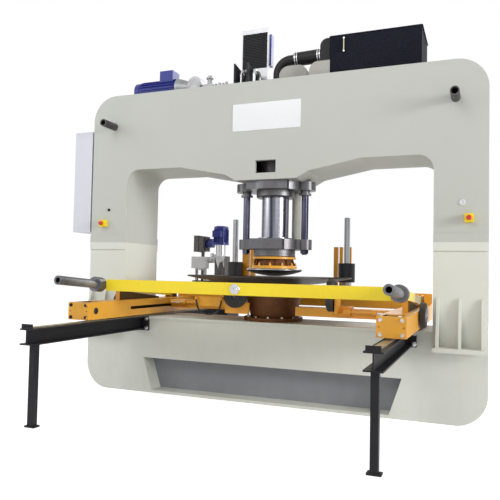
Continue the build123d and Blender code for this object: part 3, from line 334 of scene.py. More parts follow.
# the key of a finish that sets each named socket
groupKeys = {
    "mottle": {"Patch Scale": "patch", "Speck Scale": "speck", "Speck Share": "speckShare"},
    "grime": {"Amount": "grime", "Low": "low", "High": "high"},
    "scuff": {"Scale": "scuffScale", "Amount": "scuff"},
    "lathe": {"Rings": "rings"},
}


def useGroup(nt, name, spec):
    n = nt.nodes.new("ShaderNodeGroup")
    n.node_tree = groups[name]
    for label, key in groupKeys[name].items():
        n.inputs[label].default_value = spec[key]
    return n.outputs


def mixColor(nt, fac, a, b):
    n = nt.nodes.new("ShaderNodeMix")
    n.data_type = "RGBA"
    for sock, v in ((n.inputs[6], a), (n.inputs[7], b)):  # the two colour sockets
        if isinstance(v, tuple):
            sock.default_value = (*v, 1)
        else:
            nt.links.new(v, sock)
    nt.links.new(fac, n.inputs[0])
    return n.outputs[2]


def bumpFrom(nt, height, strength, distance):
    n = nt.nodes.new("ShaderNodeBump")
    n.inputs["Strength"].default_value = strength
    n.inputs["Distance"].default_value = distance
    nt.links.new(height, n.inputs["Height"])
    return n.outputs["Normal"]


def driftRough(nt, value, spec, span):  # roughness that goes from smoother to rougher over span
    return mapRange(nt, value, span, (spec["rough"] - spec["smoother"], spec["rough"] + spec["rougher"]))


def freshMaterial(name):
    mat = bpy.data.materials.new(name)
    mat.use_nodes = True
    nt = mat.node_tree
    nt.nodes.clear()
    out = nt.nodes.new("ShaderNodeOutputMaterial")
    shader = nt.nodes.new("ShaderNodeBsdfPrincipled")
    nt.links.new(shader.outputs[0], out.inputs[0])
    return mat, nt, shader.inputs


noiseSpan = (0.3, 0.7)  # most noise values lie between these

# what a paint has unless its own row says otherwise
paintBase = {
    "patch": 1.6, "speck": 70.0, "speckShare": 0.25,
    "grime": 0.3, "low": 0.0, "high": 1.0, "dirt": (0.12, 0.11, 0.1), "grimeRough": 0.35,
    "scuffScale": 14.0, "scuff": 0.2, "under": (0.22, 0.2, 0.18),
    "smoother": 0.05, "rougher": 0.07, "metallic": 0.0, "gloss": 0.4, "coat": 0.0, "coatRough": 0.18,
    "peel": 160.0, "peelNoise": (2, 0.5), "bump": 0.12, "depth": 0.0012,
}


def paintFinish(name, own):
    spec = {**paintBase, **own}
    mat, nt, sockets = freshMaterial(name)
    mottle = useGroup(nt, "mottle", spec)["Value"]
    color = mixColor(nt, mapRange(nt, mottle, noiseSpan), spec["color"], spec["second"])
    grime = useGroup(nt, "grime", spec)["Mask"]
    color = mixColor(nt, grime, color, spec["dirt"])
    scuff = useGroup(nt, "scuff", spec)["Mask"]
    nt.links.new(mixColor(nt, scuff, color, spec["under"]), sockets["Base Color"])
    rough = driftRough(nt, mottle, spec, noiseSpan)
    rough = mathNode(nt, "ADD", rough, mathNode(nt, "MULTIPLY", grime, spec["grimeRough"]), True)
    nt.links.new(rough, sockets["Roughness"])
    sockets["Metallic"].default_value = spec["metallic"]
    sockets["Specular IOR Level"].default_value = spec["gloss"]
    sockets["Coat Weight"].default_value = spec["coat"]
    sockets["Coat Roughness"].default_value = spec["coatRough"]
    peel = noiseTex(nt, objectPlace(nt), spec["peel"], *spec["peelNoise"])
    nt.links.new(bumpFrom(nt, peel, spec["bump"], spec["depth"]), sockets["Normal"])
    return mat


turnedBase = {
    "rings": 420.0, "streakSpan": (0.42, 0.66), "oil": 0.3, "stain": (0.1, 0.09, 0.08),
    "metallic": 1.0, "roughSpan": (0.25, 0.75), "smoother": 0.06, "rougher": 0.1,
    "bump": 0.1, "depth": 0.0006,
}


def turnedFinish(name, own):
    spec = {**turnedBase, **own}
    mat, nt, sockets = freshMaterial(name)
    marks = useGroup(nt, "lathe", spec)
    color = mixColor(nt, mapRange(nt, marks["Value"], noiseSpan), spec["color"], spec["second"])
    streak = mathNode(nt, "MULTIPLY", mapRange(nt, marks["Streak"], spec["streakSpan"]), spec["oil"])
    nt.links.new(mixColor(nt, streak, color, spec["stain"]), sockets["Base Color"])
    sockets["Metallic"].default_value = spec["metallic"]
    nt.links.new(driftRough(nt, marks["Value"], spec, spec["roughSpan"]), sockets["Roughness"])
    nt.links.new(bumpFrom(nt, marks["Value"], spec["bump"], spec["depth"]), sockets["Normal"])
    return mat


milledBase = {
    "patch": 5.0, "speck": 90.0, "speckShare": 0.4, "scaleSpan": (0.36, 0.64),
    "scuffScale": 22.0, "scuff": 0.5, "bright": (0.42, 0.41, 0.4), "metallic": 0.7,
    "smoother": 0.1, "rougher": 0.12, "bump": 0.2, "depth": 0.001,
}


def milledFinish(name, own):  # rolled, sawn or plated metal
    spec = {**milledBase, **own}
    mat, nt, sockets = freshMaterial(name)
    mottle = useGroup(nt, "mottle", spec)["Value"]
    color = mixColor(nt, mapRange(nt, mottle, spec["scaleSpan"]), spec["color"], spec["second"])
    scuff = useGroup(nt, "scuff", spec)["Mask"]
    nt.links.new(mixColor(nt, scuff, color, spec["bright"]), sockets["Base Color"])
    sockets["Metallic"].default_value = spec["metallic"]
    nt.links.new(driftRough(nt, mottle, spec, noiseSpan), sockets["Roughness"])
    nt.links.new(bumpFrom(nt, mottle, spec["bump"], spec["depth"]), sockets["Normal"])
    return mat


rubberBase = {
    "patch": 9.0, "speck": 220.0, "speckShare": 0.5, "colorSpan": (0.35, 0.65),
    "grime": 0.5, "low": 0.0, "high": 4.0, "dust": (0.16, 0.15, 0.14), "gloss": 0.22,
    "smoother": 0.08, "rougher": 0.08, "bump": 0.25, "depth": 0.0008,
}


def rubberFinish(name, own):
    spec = {**rubberBase, **own}
    mat, nt, sockets = freshMaterial(name)
    mottle = useGroup(nt, "mottle", spec)["Value"]
    color = mixColor(nt, mapRange(nt, mottle, spec["colorSpan"]), spec["color"], spec["second"])
    grime = useGroup(nt, "grime", spec)["Mask"]
    nt.links.new(mixColor(nt, grime, color, spec["dust"]), sockets["Base Color"])
    nt.links.new(driftRough(nt, mottle, spec, noiseSpan), sockets["Roughness"])
    sockets["Specular IOR Level"].default_value = spec["gloss"]
    nt.links.new(bumpFrom(nt, mottle, spec["bump"], spec["depth"]), sockets["Normal"])
    return mat


# colour drifts between color and second; low and high bound the grime in metres
paints = {
    "creamPaint": {"color": (0.475, 0.487, 0.45), "second": (0.515, 0.527, 0.488), "rough": 0.5,
                   "grime": 0.16, "low": 0.0, "high": 0.9, "scuff": 0.05, "patch": 0.9,
                   "dirt": (0.3, 0.29, 0.26), "bump": 0.1},
    # painted light: the frame's same cream, made lighter on the bed, shelves and welds because they get less
    # lamp light than the yoke
    "bedPaint": {"color": (0.63, 0.642, 0.585), "second": (0.68, 0.692, 0.635), "rough": 0.5,
                 "grime": 0.14, "low": 0.0, "high": 1.2, "scuff": 0.05, "patch": 1.2,
                 "dirt": (0.25, 0.24, 0.22)},
    "orangePaint": {"color": (0.80, 0.33, 0.02), "second": (0.86, 0.42, 0.03), "rough": 0.38,
                    "grime": 0.32, "low": 0.6, "high": 1.2, "scuff": 0.25, "coat": 0.2,
                    "dirt": (0.16, 0.08, 0.03)},
    "beamPaint": {"color": (0.70, 0.31, 0.02), "second": (0.77, 0.38, 0.03), "rough": 0.36,
                  "grime": 0.28, "low": 0.6, "high": 1.1, "scuff": 0.3, "coat": 0.25,
                  "dirt": (0.2, 0.1, 0.03)},
    "yellowPaint": {"color": (0.89, 0.66, 0.01), "second": (0.92, 0.73, 0.02), "rough": 0.34,
                    "grime": 0.2, "low": 0.8, "high": 1.3, "scuff": 0.22, "coat": 0.3,
                    "dirt": (0.3, 0.2, 0.04)},
    "blackPaint": {"color": (0.010, 0.010, 0.012), "second": (0.017, 0.017, 0.020), "rough": 0.5,
                   "gloss": 0.16, "grime": 0.16, "low": 0.0, "high": 0.9, "scuff": 0.2, "coat": 0.05,
                   "dirt": (0.06, 0.06, 0.06), "under": (0.14, 0.13, 0.13)},
    "tankPaint": {"color": (0.004, 0.0045, 0.008), "second": (0.02, 0.022, 0.034), "rough": 0.8,
                  "gloss": 0.06, "grime": 0.06, "low": 2.9, "high": 3.6, "scuff": 0.04,
                  "speckShare": 0.75, "speck": 130.0, "bump": 0.35, "peel": 240.0,
                  "dirt": (0.1, 0.1, 0.1)},
    "bluePaint": {"color": (0.016, 0.026, 0.21), "second": (0.024, 0.038, 0.28), "rough": 0.34,
                  "gloss": 0.3, "grime": 0.2, "low": 1.0, "high": 4.0, "scuff": 0.15, "coat": 0.3,
                  "dirt": (0.05, 0.05, 0.1)},
    "rustBrown": {"color": (0.20, 0.075, 0.02), "second": (0.11, 0.04, 0.015), "rough": 0.5,
                  "gloss": 0.2, "grime": 0.4, "low": 0.7, "high": 1.1, "scuff": 0.5, "patch": 6.0,
                  "dirt": (0.1, 0.05, 0.03), "under": (0.5, 0.26, 0.08)},
    "holderOrange": {"color": (0.82, 0.34, 0.02), "second": (0.88, 0.46, 0.04), "rough": 0.36,
                     "grime": 0.25, "low": 1.1, "high": 1.5, "scuff": 0.4, "coat": 0.2},
    "cabinetPaint": {"color": (0.60, 0.61, 0.68), "second": (0.64, 0.65, 0.71), "rough": 0.4,
                     "grime": 0.1, "low": 1.5, "high": 2.0, "scuff": 0.06},
    "whitePlate": {"color": (0.78, 0.79, 0.82), "second": (0.82, 0.82, 0.84), "rough": 0.3,
                   "grime": 0.1, "low": 2.4, "high": 2.8, "scuff": 0.05, "coat": 0.3},
    "beigeCast": {"color": (0.34, 0.33, 0.30), "second": (0.46, 0.45, 0.41), "rough": 0.55,
                  "grime": 0.3, "low": 2.9, "high": 3.2, "scuff": 0.15, "bump": 0.35, "peel": 90.0},
    "greyPlastic": {"color": (0.60, 0.61, 0.63), "second": (0.66, 0.67, 0.68), "rough": 0.5,
                    "grime": 0.15, "low": 1.0, "high": 1.5, "scuff": 0.05},
    "stopYellow": {"color": (0.84, 0.62, 0.01), "second": (0.88, 0.68, 0.02), "rough": 0.4,
                   "grime": 0.1, "low": 1.5, "high": 1.8, "scuff": 0.05},
    "stopRed": {"color": (0.55, 0.012, 0.01), "second": (0.62, 0.02, 0.015), "rough": 0.25,
                "grime": 0.05, "low": 1.5, "high": 1.8, "scuff": 0.03, "coat": 0.4},
    # painted reflection: pale cream for a pale wall mirrored in the return rods' chrome
    "palePaint": {"color": (0.62, 0.62, 0.56), "second": (0.68, 0.68, 0.62), "rough": 0.4,
                  "grime": 0.2, "low": 1.4, "high": 2.2, "scuff": 0.1},
    # painted shade: dark grey laid on the recess at the foot of the bed in place of its shadow
    "shadePaint": {"color": (0.235, 0.245, 0.27), "second": (0.275, 0.285, 0.31), "rough": 0.6,
                   "grime": 0.3, "low": 0.0, "high": 0.4, "scuff": 0.1},
    # painted shade: dark brown laid on the side beams' webs in place of the shade inside them
    "beamShade": {"color": (0.05, 0.028, 0.008), "second": (0.08, 0.045, 0.012), "rough": 0.6,
                  "gloss": 0.1, "scuff": 0.1},
    "gaugeClear": {"color": (0.55, 0.5, 0.36), "second": (0.62, 0.56, 0.4), "rough": 0.1,
                   "grime": 0.05, "low": 3.0, "high": 3.4, "scuff": 0.02, "coat": 0.6},
}

# rings: fineness of the lathe marks, oil: share of the stain in the streaks
turnedSteels = {
    "headSteel": {"color": (0.10, 0.10, 0.11), "second": (0.17, 0.17, 0.185), "rough": 0.36,
                  "rings": 300.0, "oil": 0.4, "metallic": 0.9},
    "blockSteel": {"color": (0.14, 0.14, 0.15), "second": (0.2, 0.2, 0.215), "rough": 0.4,
                   "rings": 260.0, "oil": 0.5, "metallic": 0.9},
    "ramChrome": {"color": (0.36, 0.36, 0.42), "second": (0.46, 0.46, 0.52), "rough": 0.2,
                  "rings": 700.0, "oil": 0.96, "bump": 0.04, "stain": (0.03, 0.027, 0.045)},
    "guideSteel": {"color": (0.11, 0.11, 0.16), "second": (0.20, 0.20, 0.27), "rough": 0.26,
                   "rings": 600.0, "oil": 0.9, "bump": 0.04, "stain": (0.02, 0.018, 0.035)},
    "dieSteel": {"color": (0.30, 0.30, 0.315), "second": (0.42, 0.42, 0.44), "rough": 0.28,
                 "rings": 360.0, "oil": 0.55},
    "spindleSteel": {"color": (0.34, 0.35, 0.38), "second": (0.5, 0.51, 0.54), "rough": 0.33,
                     "rings": 240.0, "oil": 0.45},
    "rollerSteel": {"color": (0.016, 0.017, 0.021), "second": (0.04, 0.042, 0.05), "rough": 0.45,
                    "rings": 200.0, "oil": 0.3, "metallic": 0.6},
}

# rolled, sawn or plated metal; scuff: share of bright scratches
milledMetals = {
    "coolerAlloy": {"color": (0.42, 0.42, 0.45), "second": (0.55, 0.55, 0.58), "rough": 0.42,
                    "metallic": 0.6, "patch": 8.0, "scuff": 0.2},
    "handleSteel": {"color": (0.30, 0.30, 0.31), "second": (0.42, 0.42, 0.43), "rough": 0.42,
                    "patch": 9.0, "scuff": 0.4, "metallic": 0.8},
    "darkSteel": {"color": (0.055, 0.052, 0.052), "second": (0.11, 0.1, 0.1), "rough": 0.46,
                  "patch": 7.0, "scuff": 0.5},
    "plateSteel": {"color": (0.022, 0.019, 0.017), "second": (0.06, 0.049, 0.04), "rough": 0.44,
                   "patch": 3.2, "scuff": 0.35, "bright": (0.3, 0.27, 0.24), "bump": 0.3},
    "wornBar": {"color": (0.30, 0.25, 0.15), "second": (0.48, 0.44, 0.34), "rough": 0.4, "patch": 11.0,
                "scuff": 0.8, "metallic": 0.75},
    "valveSteel": {"color": (0.20, 0.20, 0.21), "second": (0.42, 0.42, 0.43), "rough": 0.38,
                   "patch": 12.0, "scuff": 0.5, "metallic": 0.8},
    "zincSteel": {"color": (0.52, 0.52, 0.54), "second": (0.66, 0.66, 0.67), "rough": 0.3,
                  "patch": 14.0, "scuff": 0.3, "metallic": 0.9},
    "collarSteel": {"color": (0.10, 0.10, 0.11), "second": (0.18, 0.18, 0.19), "rough": 0.42,
                    "patch": 9.0, "scuff": 0.3, "metallic": 0.8},
    "finAlloy": {"color": (0.012, 0.012, 0.013), "second": (0.03, 0.03, 0.034), "rough": 0.6,
                 "metallic": 0.2, "patch": 14.0, "scuff": 0.05},
}

rubbers = {
    "blackRubber": {"color": (0.014, 0.014, 0.015), "second": (0.028, 0.028, 0.03), "rough": 0.62},
    "hoseRubber": {"color": (0.010, 0.010, 0.011), "second": (0.02, 0.02, 0.022), "rough": 0.4,
                   "grime": 0.25},
    "tyreRubber": {"color": (0.018, 0.017, 0.016), "second": (0.045, 0.042, 0.04), "rough": 0.7},
}

finishes = {}
for makeFinish, table in ((paintFinish, paints), (turnedFinish, turnedSteels),
                          (milledFinish, milledMetals), (rubberFinish, rubbers)):
    for finishName, finishSpec in table.items():
        finishes[finishName] = makeFinish(finishName, finishSpec)
print("finishes mixed:", len(finishes))

finishOf = {
    "upper_yoke": "creamPaint", "lower_bed": "bedPaint", "bed_plate": "bedPaint",
    "shelf_brackets": "bedPaint", "lifting_tubes": "darkSteel", "blank_plate": "whitePlate",
    "cabinet_body": "cabinetPaint", "cabinet_door": "cabinetPaint", "stop_boxes": "stopYellow",
    "stop_button_left": "stopRed", "stop_button_right": "stopRed", "head_flange": "headSteel",
    "gland_ring": "blockSteel", "cylinder_barrel": "darkSteel", "ram_rod": "ramChrome",
    "guide_rods": "guideSteel", "platen": "headSteel", "adapter_block": "blockSteel",
    "holder_flanges": "holderOrange", "ribbed_spacer": "rustBrown", "forming_die": "dieSteel",
    "die_drum": "rustBrown", "anvil_ring": "headSteel", "rail_left": "blackPaint",
    "rail_right": "blackPaint", "running_bars": "wornBar", "side_beam_left": "beamPaint",
    "side_beam_right": "beamPaint", "side_wheel_left": "tyreRubber", "side_wheel_right": "tyreRubber",
    "rail_wheels_front": "valveSteel", "rail_wheels_rear": "valveSteel", "saddle_left": "orangePaint",
    "saddle_right": "orangePaint", "drive_wheel_left": "tyreRubber", "drive_wheel_right": "tyreRubber",
    "edge_roller_left": "rollerSteel", "edge_roller_right": "rollerSteel", "cross_arms": "orangePaint",
    "rear_beam": "orangePaint", "spindles": "spindleSteel", "round_plate": "plateSteel",
    "fork_frame": "yellowPaint", "handle_tubes": "handleSteel", "cylinder_pipes": "zincSteel",
    "unit_cables": "hoseRubber", "unit_hose_loop": "hoseRubber", "tank": "tankPaint",
    "cooler_frame": "coolerAlloy", "cooler_cowl": "bluePaint", "cooler_fan": "blackPaint",
    "top_motor": "bluePaint", "pump_set": "valveSteel", "bracket_plates": "blackPaint",
    "suction_hose": "hoseRubber", "filter_pots": "beigeCast", "unit_tank": "blackPaint",
    "unit_motor": "bluePaint", "unit_valves": "darkSteel", "unit_box": "greyPlastic",
}

for nodeName, node in nodes.items():
    node.data.materials.clear()
    node.data.materials.append(finishes[finishOf[nodeName]])
print("finishes laid on", len(nodes), "pieces")

handleLow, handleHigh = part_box("handle_tubes")
handleAxis = ((handleLow.y + handleHigh.y) / 2, (handleLow.z + handleHigh.z) / 2)


def onBeamWeb(side):  # both faces of a side beam's web, behind its end plate, which get a dark painted shade
    x, reach, frontEnd, facing = 1.27, 0.0905, -1.225, 0.7
    return lambda c, n: abs(c.x - side * x) < reach and abs(n.x) > facing and c.y > frontEnd


splits = {
    # node: finish of the picked faces, and the test that picks them by centre and normal
    "guide_rods": ("palePaint", lambda c, n: abs(c.x) < 0.22),  # the two return rods, pale cream as a painted reflection of a pale wall in their chrome
    "cooler_frame": ("finAlloy",  # front of the core
                     lambda c, n: n.y < -0.9 and c.y > -0.006 and c.z > 3.14),
    "lower_bed": ("shadePaint",  # recess at the foot, its faces painted dark grey as painted shade
                  lambda c, n: 0.03 < c.z < 0.325 and abs(c.y) < 0.14 and abs(n.y) > 0.9),
    "pump_set": ("zincSteel", lambda c, n: c.x > -0.33),  # valves beside the pump
    "side_beam_left": ("beamShade", onBeamWeb(-1)),
    "side_beam_right": ("beamShade", onBeamWeb(1)),
    "handle_tubes": ("collarSteel",  # the collars, wider than the tubes
                     lambda c, n: hypot(c.y - handleAxis[0], c.z - handleAxis[1]) > 0.046),
    "unit_valves": ("zincSteel",  # upper block and its pots
                    lambda c, n: c.x > -1.43 and c.z > 1.27 and c.y < 1.6 and (c.x > -1.395 or c.z < 1.41)),
}


def splitFinish(node, finish, test):
    mesh = nodes[node].data
    mesh.materials.append(finishes[finish])
    for poly in mesh.polygons:
        if test(poly.center, poly.normal):
            poly.material_index = 1


for splitNode, (splitName, splitTest) in splits.items():
    splitFinish(splitNode, splitName, splitTest)
print("second finishes laid on", len(splits), "pieces")


def meshPiece(name, verts, faces, body, finish, smooth=False):
    mesh = bpy.data.meshes.new(name)
    mesh.from_pydata([tuple(v) for v in verts], [], faces)
    mesh.validate()
    mesh.materials.append(finishes[finish])
    for poly in mesh.polygons:
        poly.use_smooth = smooth
    piece = bpy.data.objects.new(name, mesh)
    bpy.context.scene.collection.objects.link(piece)
    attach(piece, body)
    return piece


# the corner radius is flats / flatsToCorner; radii are shares of it, heights shares of the flats
hexForm = {"flatsToCorner": 1.732, "washer": 1.35, "washerThick": 0.12, "washerSides": 28,
           "head": 0.5, "chamfer": (0.86, 0.62)}
# radius and height as shares of the screw's radius, up its side and down into the socket
socketForm = {"profile": ((1, 0), (1, 0.9), (0.92, 1), (0.55, 1), (0.5, 0.4)), "sides": 20}
barForm = {"bevelShare": 0.3, "segments": 2}  # no bevel is wider than this share of the thinnest side
creaseAngle = 35  # degrees: sharper edges aren't smoothed


def scaled(profile, radius):  # profile rows hold a share of the radius, and a height
    return [(radius * share, height) for share, height in profile]


class Shape:
    def __init__(self):
        self.verts, self.faces = [], []

    def skin(self, base, rows, sides):  # quads between rings of vertices
        for row in range(rows - 1):
            for k in range(sides):
                a, b = base + row * sides + k, base + row * sides + (k + 1) % sides
                self.faces.append((a, b, b + sides, a + sides))

    def turned(self, profile, at, axis, sides):
        # profile holds (radius, height) pairs from the root to the tip along axis
        turn = Vector(axis).to_track_quat("Z", "Y").to_matrix()
        base = len(self.verts)
        for radius, height in profile:
            for k in range(sides):
                a = 2 * pi * (k + 0.5) / sides
                self.verts.append(Vector(at) + turn @ Vector((radius * cos(a), radius * sin(a), height)))
        self.skin(base, len(profile), sides)
        last = base + (len(profile) - 1) * sides
        self.faces.append(tuple(base + k for k in reversed(range(sides))))
        self.faces.append(tuple(last + k for k in range(sides)))

    def hexBolt(self, at, axis, flats):
        corner = flats / hexForm["flatsToCorner"]
        thick = hexForm["washerThick"] * flats
        share, top = hexForm["chamfer"]
        washer = hexForm["washer"] * corner
        self.turned([(washer, 0), (washer, thick)], at, axis, hexForm["washerSides"])
        lift = Vector(at) + Vector(axis).normalized() * thick
        self.turned([(corner, 0), (corner, hexForm["head"] * flats), (share * corner, top * flats)],
                    lift, axis, 6)

    def socketScrew(self, at, axis, size):
        profile = [(size * radius, size * height) for radius, height in socketForm["profile"]]
        self.turned(profile, at, axis, socketForm["sides"])

    def bar(self, low, high, bevel):
        low, high = Vector(low), Vector(high)
        size = high - low
        bm = bmesh.new()
        bmesh.ops.create_cube(bm, size=1.0)
        for vert in bm.verts:
            vert.co = low + Vector([(vert.co[i] + 0.5) * size[i] for i in range(3)])
        bmesh.ops.bevel(bm, geom=bm.edges[:], offset=min(bevel, barForm["bevelShare"] * min(size)),
                        segments=barForm["segments"], affect="EDGES")
        base = len(self.verts)
        bm.verts.index_update()
        self.verts += [vert.co.copy() for vert in bm.verts]
        self.faces += [tuple(base + vert.index for vert in face.verts) for face in bm.faces]
        bm.free()

    def band(self, at, axis, radius, width, thick, sides):  # clamp band, its middle at the place
        at = Vector(at) - Vector(axis).normalized() * (width / 2)
        outer = radius + thick
        self.turned([(radius, 0), (outer, 0), (outer, width), (radius, width)], at, axis, sides)

    def bead(self, path, radius, sides, ripple, pitch):
        # round bead that follows straight runs, thicker and thinner by ripple
        points = [Vector(p) for p in path]
        rings = []
        for k in range(len(points) - 1):
            run = points[k + 1] - points[k]
            steps = max(1, int(run.length / (pitch / 2)))
            for j in range(steps + (k == len(points) - 2)):
                rings.append((points[k] + run * j / steps, run.normalized(), j))
        base = len(self.verts)
        for centre, along, j in rings:
            turn = along.to_track_quat("Z", "Y").to_matrix()
            r = radius * (1 + ripple * (1 if j % 2 else -1))
            for k in range(sides):
                a = 2 * pi * k / sides
                self.verts.append(centre + turn @ Vector((r * cos(a), r * sin(a), 0)))
        self.skin(base, len(rings), sides)

    def make(self, name, body, finish, smooth=False, slot="machined_steel"):
        return meshPiece(name, self.verts, self.faces, body, finish, smooth)

    def makeCrisp(self, name, body, finish, slot="machined_steel"):  # smooth but for its creases
        piece = self.make(name, body, finish, slot=slot)
        bm = bmesh.new()
        bm.from_mesh(piece.data)
        bmesh.ops.recalc_face_normals(bm, faces=bm.faces)
        for face in bm.faces:
            face.smooth = True
        for edge in bm.edges:
            if len(edge.link_faces) == 2 and edge.calc_face_angle(0) > radians(creaseAngle):
                edge.smooth = False
        bm.to_mesh(piece.data)
        bm.free()


hoses = {
    # route points from the part's source, in metres
    "unitHose": {"node": "unit_hose_loop", "body": "drive_unit_l", "radius": 0.008, "length": 0.42,
                 "route": [(-0.657, -0.311, 0.9108), (-0.649, -0.311, 0.8408), (-0.599, -0.311, 0.7808),
                           (-0.461, -0.311, 0.7768), (-0.407, -0.311, 0.8388), (-0.399, -0.311, 0.9108)]},
    "boxCableLeft": {"node": "unit_cables", "body": "frame", "radius": 0.005, "length": 0.130,
                     "route": [(-1.502, 1.33, 1.1876), (-1.4998, 1.33, 1.15), (-1.4822, 1.326, 1.102),
                               (-1.48, 1.326, 1.0604)]},
    "boxCableRight": {"node": "unit_cables", "body": "frame", "radius": 0.005, "length": 0.130,
                      "route": [(-1.406, 1.33, 1.1876), (-1.4078, 1.33, 1.15), (-1.4222, 1.326, 1.102),
                                (-1.424, 1.326, 1.0604)]},
}

hoseCurve = {"bevelResolution": 5, "steps": 16, "order": 3}


def makeHose(name, spec):
    curve = bpy.data.curves.new(name, "CURVE")
    curve.dimensions = "3D"
    curve.bevel_depth = spec["radius"]
    curve.bevel_resolution = hoseCurve["bevelResolution"]
    curve.resolution_u = hoseCurve["steps"]
    spline = curve.splines.new("NURBS")
    spline.points.add(len(spec["route"]) - 1)
    for point, place in zip(spline.points, spec["route"]):
        point.co = (*place, 1)
    spline.order_u = hoseCurve["order"]
    spline.use_endpoint_u = True
    curve.materials.append(finishes["hoseRubber"])
    piece = bpy.data.objects.new(name, curve)
    bpy.context.scene.collection.objects.link(piece)
    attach(piece, spec["body"])
    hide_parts(spec["node"])


for hoseName, hoseSpec in hoses.items():
    makeHose(hoseName, hoseSpec)
print("hoses laid")

railBolts = {"x": 1.25, "reach": 0.072, "face": 0.3305, "heights": (0.621, 0.707), "flats": 0.024}


def makeRailBolts(spec):
    shape = Shape()
    for side in (-1, 1):
        for facing in (-1, 1):
            for dx in (-spec["reach"], spec["reach"]):
                for z in spec["heights"]:
                    place = (side * spec["x"] + dx, facing * spec["face"], z)
                    shape.hexBolt(place, (0, facing, 0), spec["flats"])
    shape.makeCrisp("railBolts", "frame", "zincSteel", "bright_steel")


# no screws by the lugs of the return rods, nor at the front
headScrews = {"count": 10, "ring": 0.243, "size": 0.0135, "z": 2.015, "turn": 0.5,
              "lugX": 0.2, "lugY": 0.16}


def makeHeadScrews(spec):
    shape = Shape()
    for k in range(spec["count"]):
        a = 2 * pi * (k + spec["turn"]) / spec["count"]
        x, y = spec["ring"] * cos(a), spec["ring"] * sin(a)
        if abs(y) > spec["lugY"] and abs(x) < spec["lugX"]:
            continue
        shape.socketScrew((x, y, spec["z"]), (0, 0, -1), spec["size"])
    shape.makeCrisp("headScrews", "frame", "blackPaint", "dark_steel")


endBolts = {
    "x": 1.27, "reach": 0.074, "heights": (0.772, 0.873), "face": 1.2421, "flats": 0.019,
    "sides": ((-1, "beamEndBoltsLeft", "blackPaint", "dark_steel"),
              (1, "beamEndBoltsRight", "zincSteel", "bright_steel")),
}


def makeEndBolts(spec):
    for side, name, finish, slot in spec["sides"]:
        shape = Shape()
        for dx in (-spec["reach"], spec["reach"]):
            for z in spec["heights"]:
                shape.hexBolt((side * spec["x"] + dx, -spec["face"], z), (0, -1, 0), spec["flats"])
        shape.makeCrisp(name, "carriage", finish, slot)


beamGrommets = {
    "y": -1.139, "z": 0.823, "face": 1.17, "radius": 0.028, "sides": 32,
    "profile": ((1, 0), (1, 0.003), (0.86, 0.006), (0.5, 0.006), (0.46, -0.004)),
}


def makeBeamGrommets(spec):
    shape = Shape()
    for side in (-1, 1):
        shape.turned(scaled(spec["profile"], spec["radius"]),
                     (side * spec["face"], spec["y"], spec["z"]), (-side, 0, 0), spec["sides"])
    shape.makeCrisp("beamGrommets", "carriage", "blackRubber", "black_rubber")


drumBolts = {"count": 12, "ring": 0.244, "z": 0.759, "flats": 0.02, "turn": 0.25}


def makeDrumBolts(spec):
    shape = Shape()
    for k in range(spec["count"]):
        a = 2 * pi * (k + spec["turn"]) / spec["count"]
        shape.hexBolt((spec["ring"] * cos(a), spec["ring"] * sin(a), spec["z"]), (0, 0, 1), spec["flats"])
    shape.makeCrisp("drumBolts", "frame", "zincSteel", "bright_steel")


plugProfile = ((1, 0), (1, 0.003), (0.9, 0.006), (0.62, 0.007), (0.56, 0.004), (0.1, 0.004))
pinProfile = ((1, 0), (1, 0.006), (0.94, 0.009), (0.5, 0.009), (0.46, 0.013), (0.2, 0.014),
              (0.16, 0.006))
frontCaps = {
    "columnPlugRight": {"place": (1.678, -0.3, 1.762), "radius": 0.025, "profile": plugProfile, "sides": 40,
                        "body": "frame", "finish": "greyPlastic", "slot": "grey_plastic"},
    "columnPlugLeft": {"place": (-1.668, -0.3, 1.771), "radius": 0.015, "profile": plugProfile, "sides": 40,
                       "body": "frame", "finish": "blackPaint", "slot": "black_paint"},
    "forkPinHead": {"place": (0.0, -0.9352, 1.036), "radius": 0.042, "profile": pinProfile, "sides": 48,
                    "body": "fork", "finish": "zincSteel", "slot": "bright_steel"},
}


def makeFrontCap(name, spec):  # plugs and pin head that face the front
    shape = Shape()
    shape.turned(scaled(spec["profile"], spec["radius"]), spec["place"], (0, -1, 0), spec["sides"])
    shape.makeCrisp(name, spec["body"], spec["finish"], spec["slot"])


hoseClamps = {
    "places": (0.192, 0.411), "pair": 0.0105, "axis": (1, 0, 0.03), "radius": 0.0642, "width": 0.009,
    "thick": 0.0018, "bandSides": 48,
    # the hose's axis, from the top of the hose's box
    "drop": 0.0645, "sag": 0.0045, "slope": 0.028, "level": 0.28,
    "housing": ((-0.006, -0.014, 0.0625), (0.006, 0.012, 0.0715)), "bevel": 0.0015,
    "screw": ((0.0032, 0), (0.0032, 0.009), (0.002, 0.011)), "screwPlace": (-0.014, 0.067),
    "screwSides": 12,
}


def makeHoseClamps(spec):
    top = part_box("suction_hose")[1].z - spec["drop"]
    low, high = spec["housing"]
    screwY, screwZ = spec["screwPlace"]
    shape = Shape()
    for place in spec["places"]:
        for x in (place - spec["pair"], place + spec["pair"]):
            z = top - spec["sag"] + spec["slope"] * (x - spec["level"])
            shape.band((x, 0, z), spec["axis"], spec["radius"], spec["width"], spec["thick"],
                       spec["bandSides"])
            shape.bar((x + low[0], low[1], z + low[2]), (x + high[0], high[1], z + high[2]),
                      spec["bevel"])
            shape.turned(spec["screw"], (x, screwY, z + screwZ), (0, -1, 0), spec["screwSides"])
    shape.makeCrisp("suctionClamps", "frame", "zincSteel", "bright_steel")


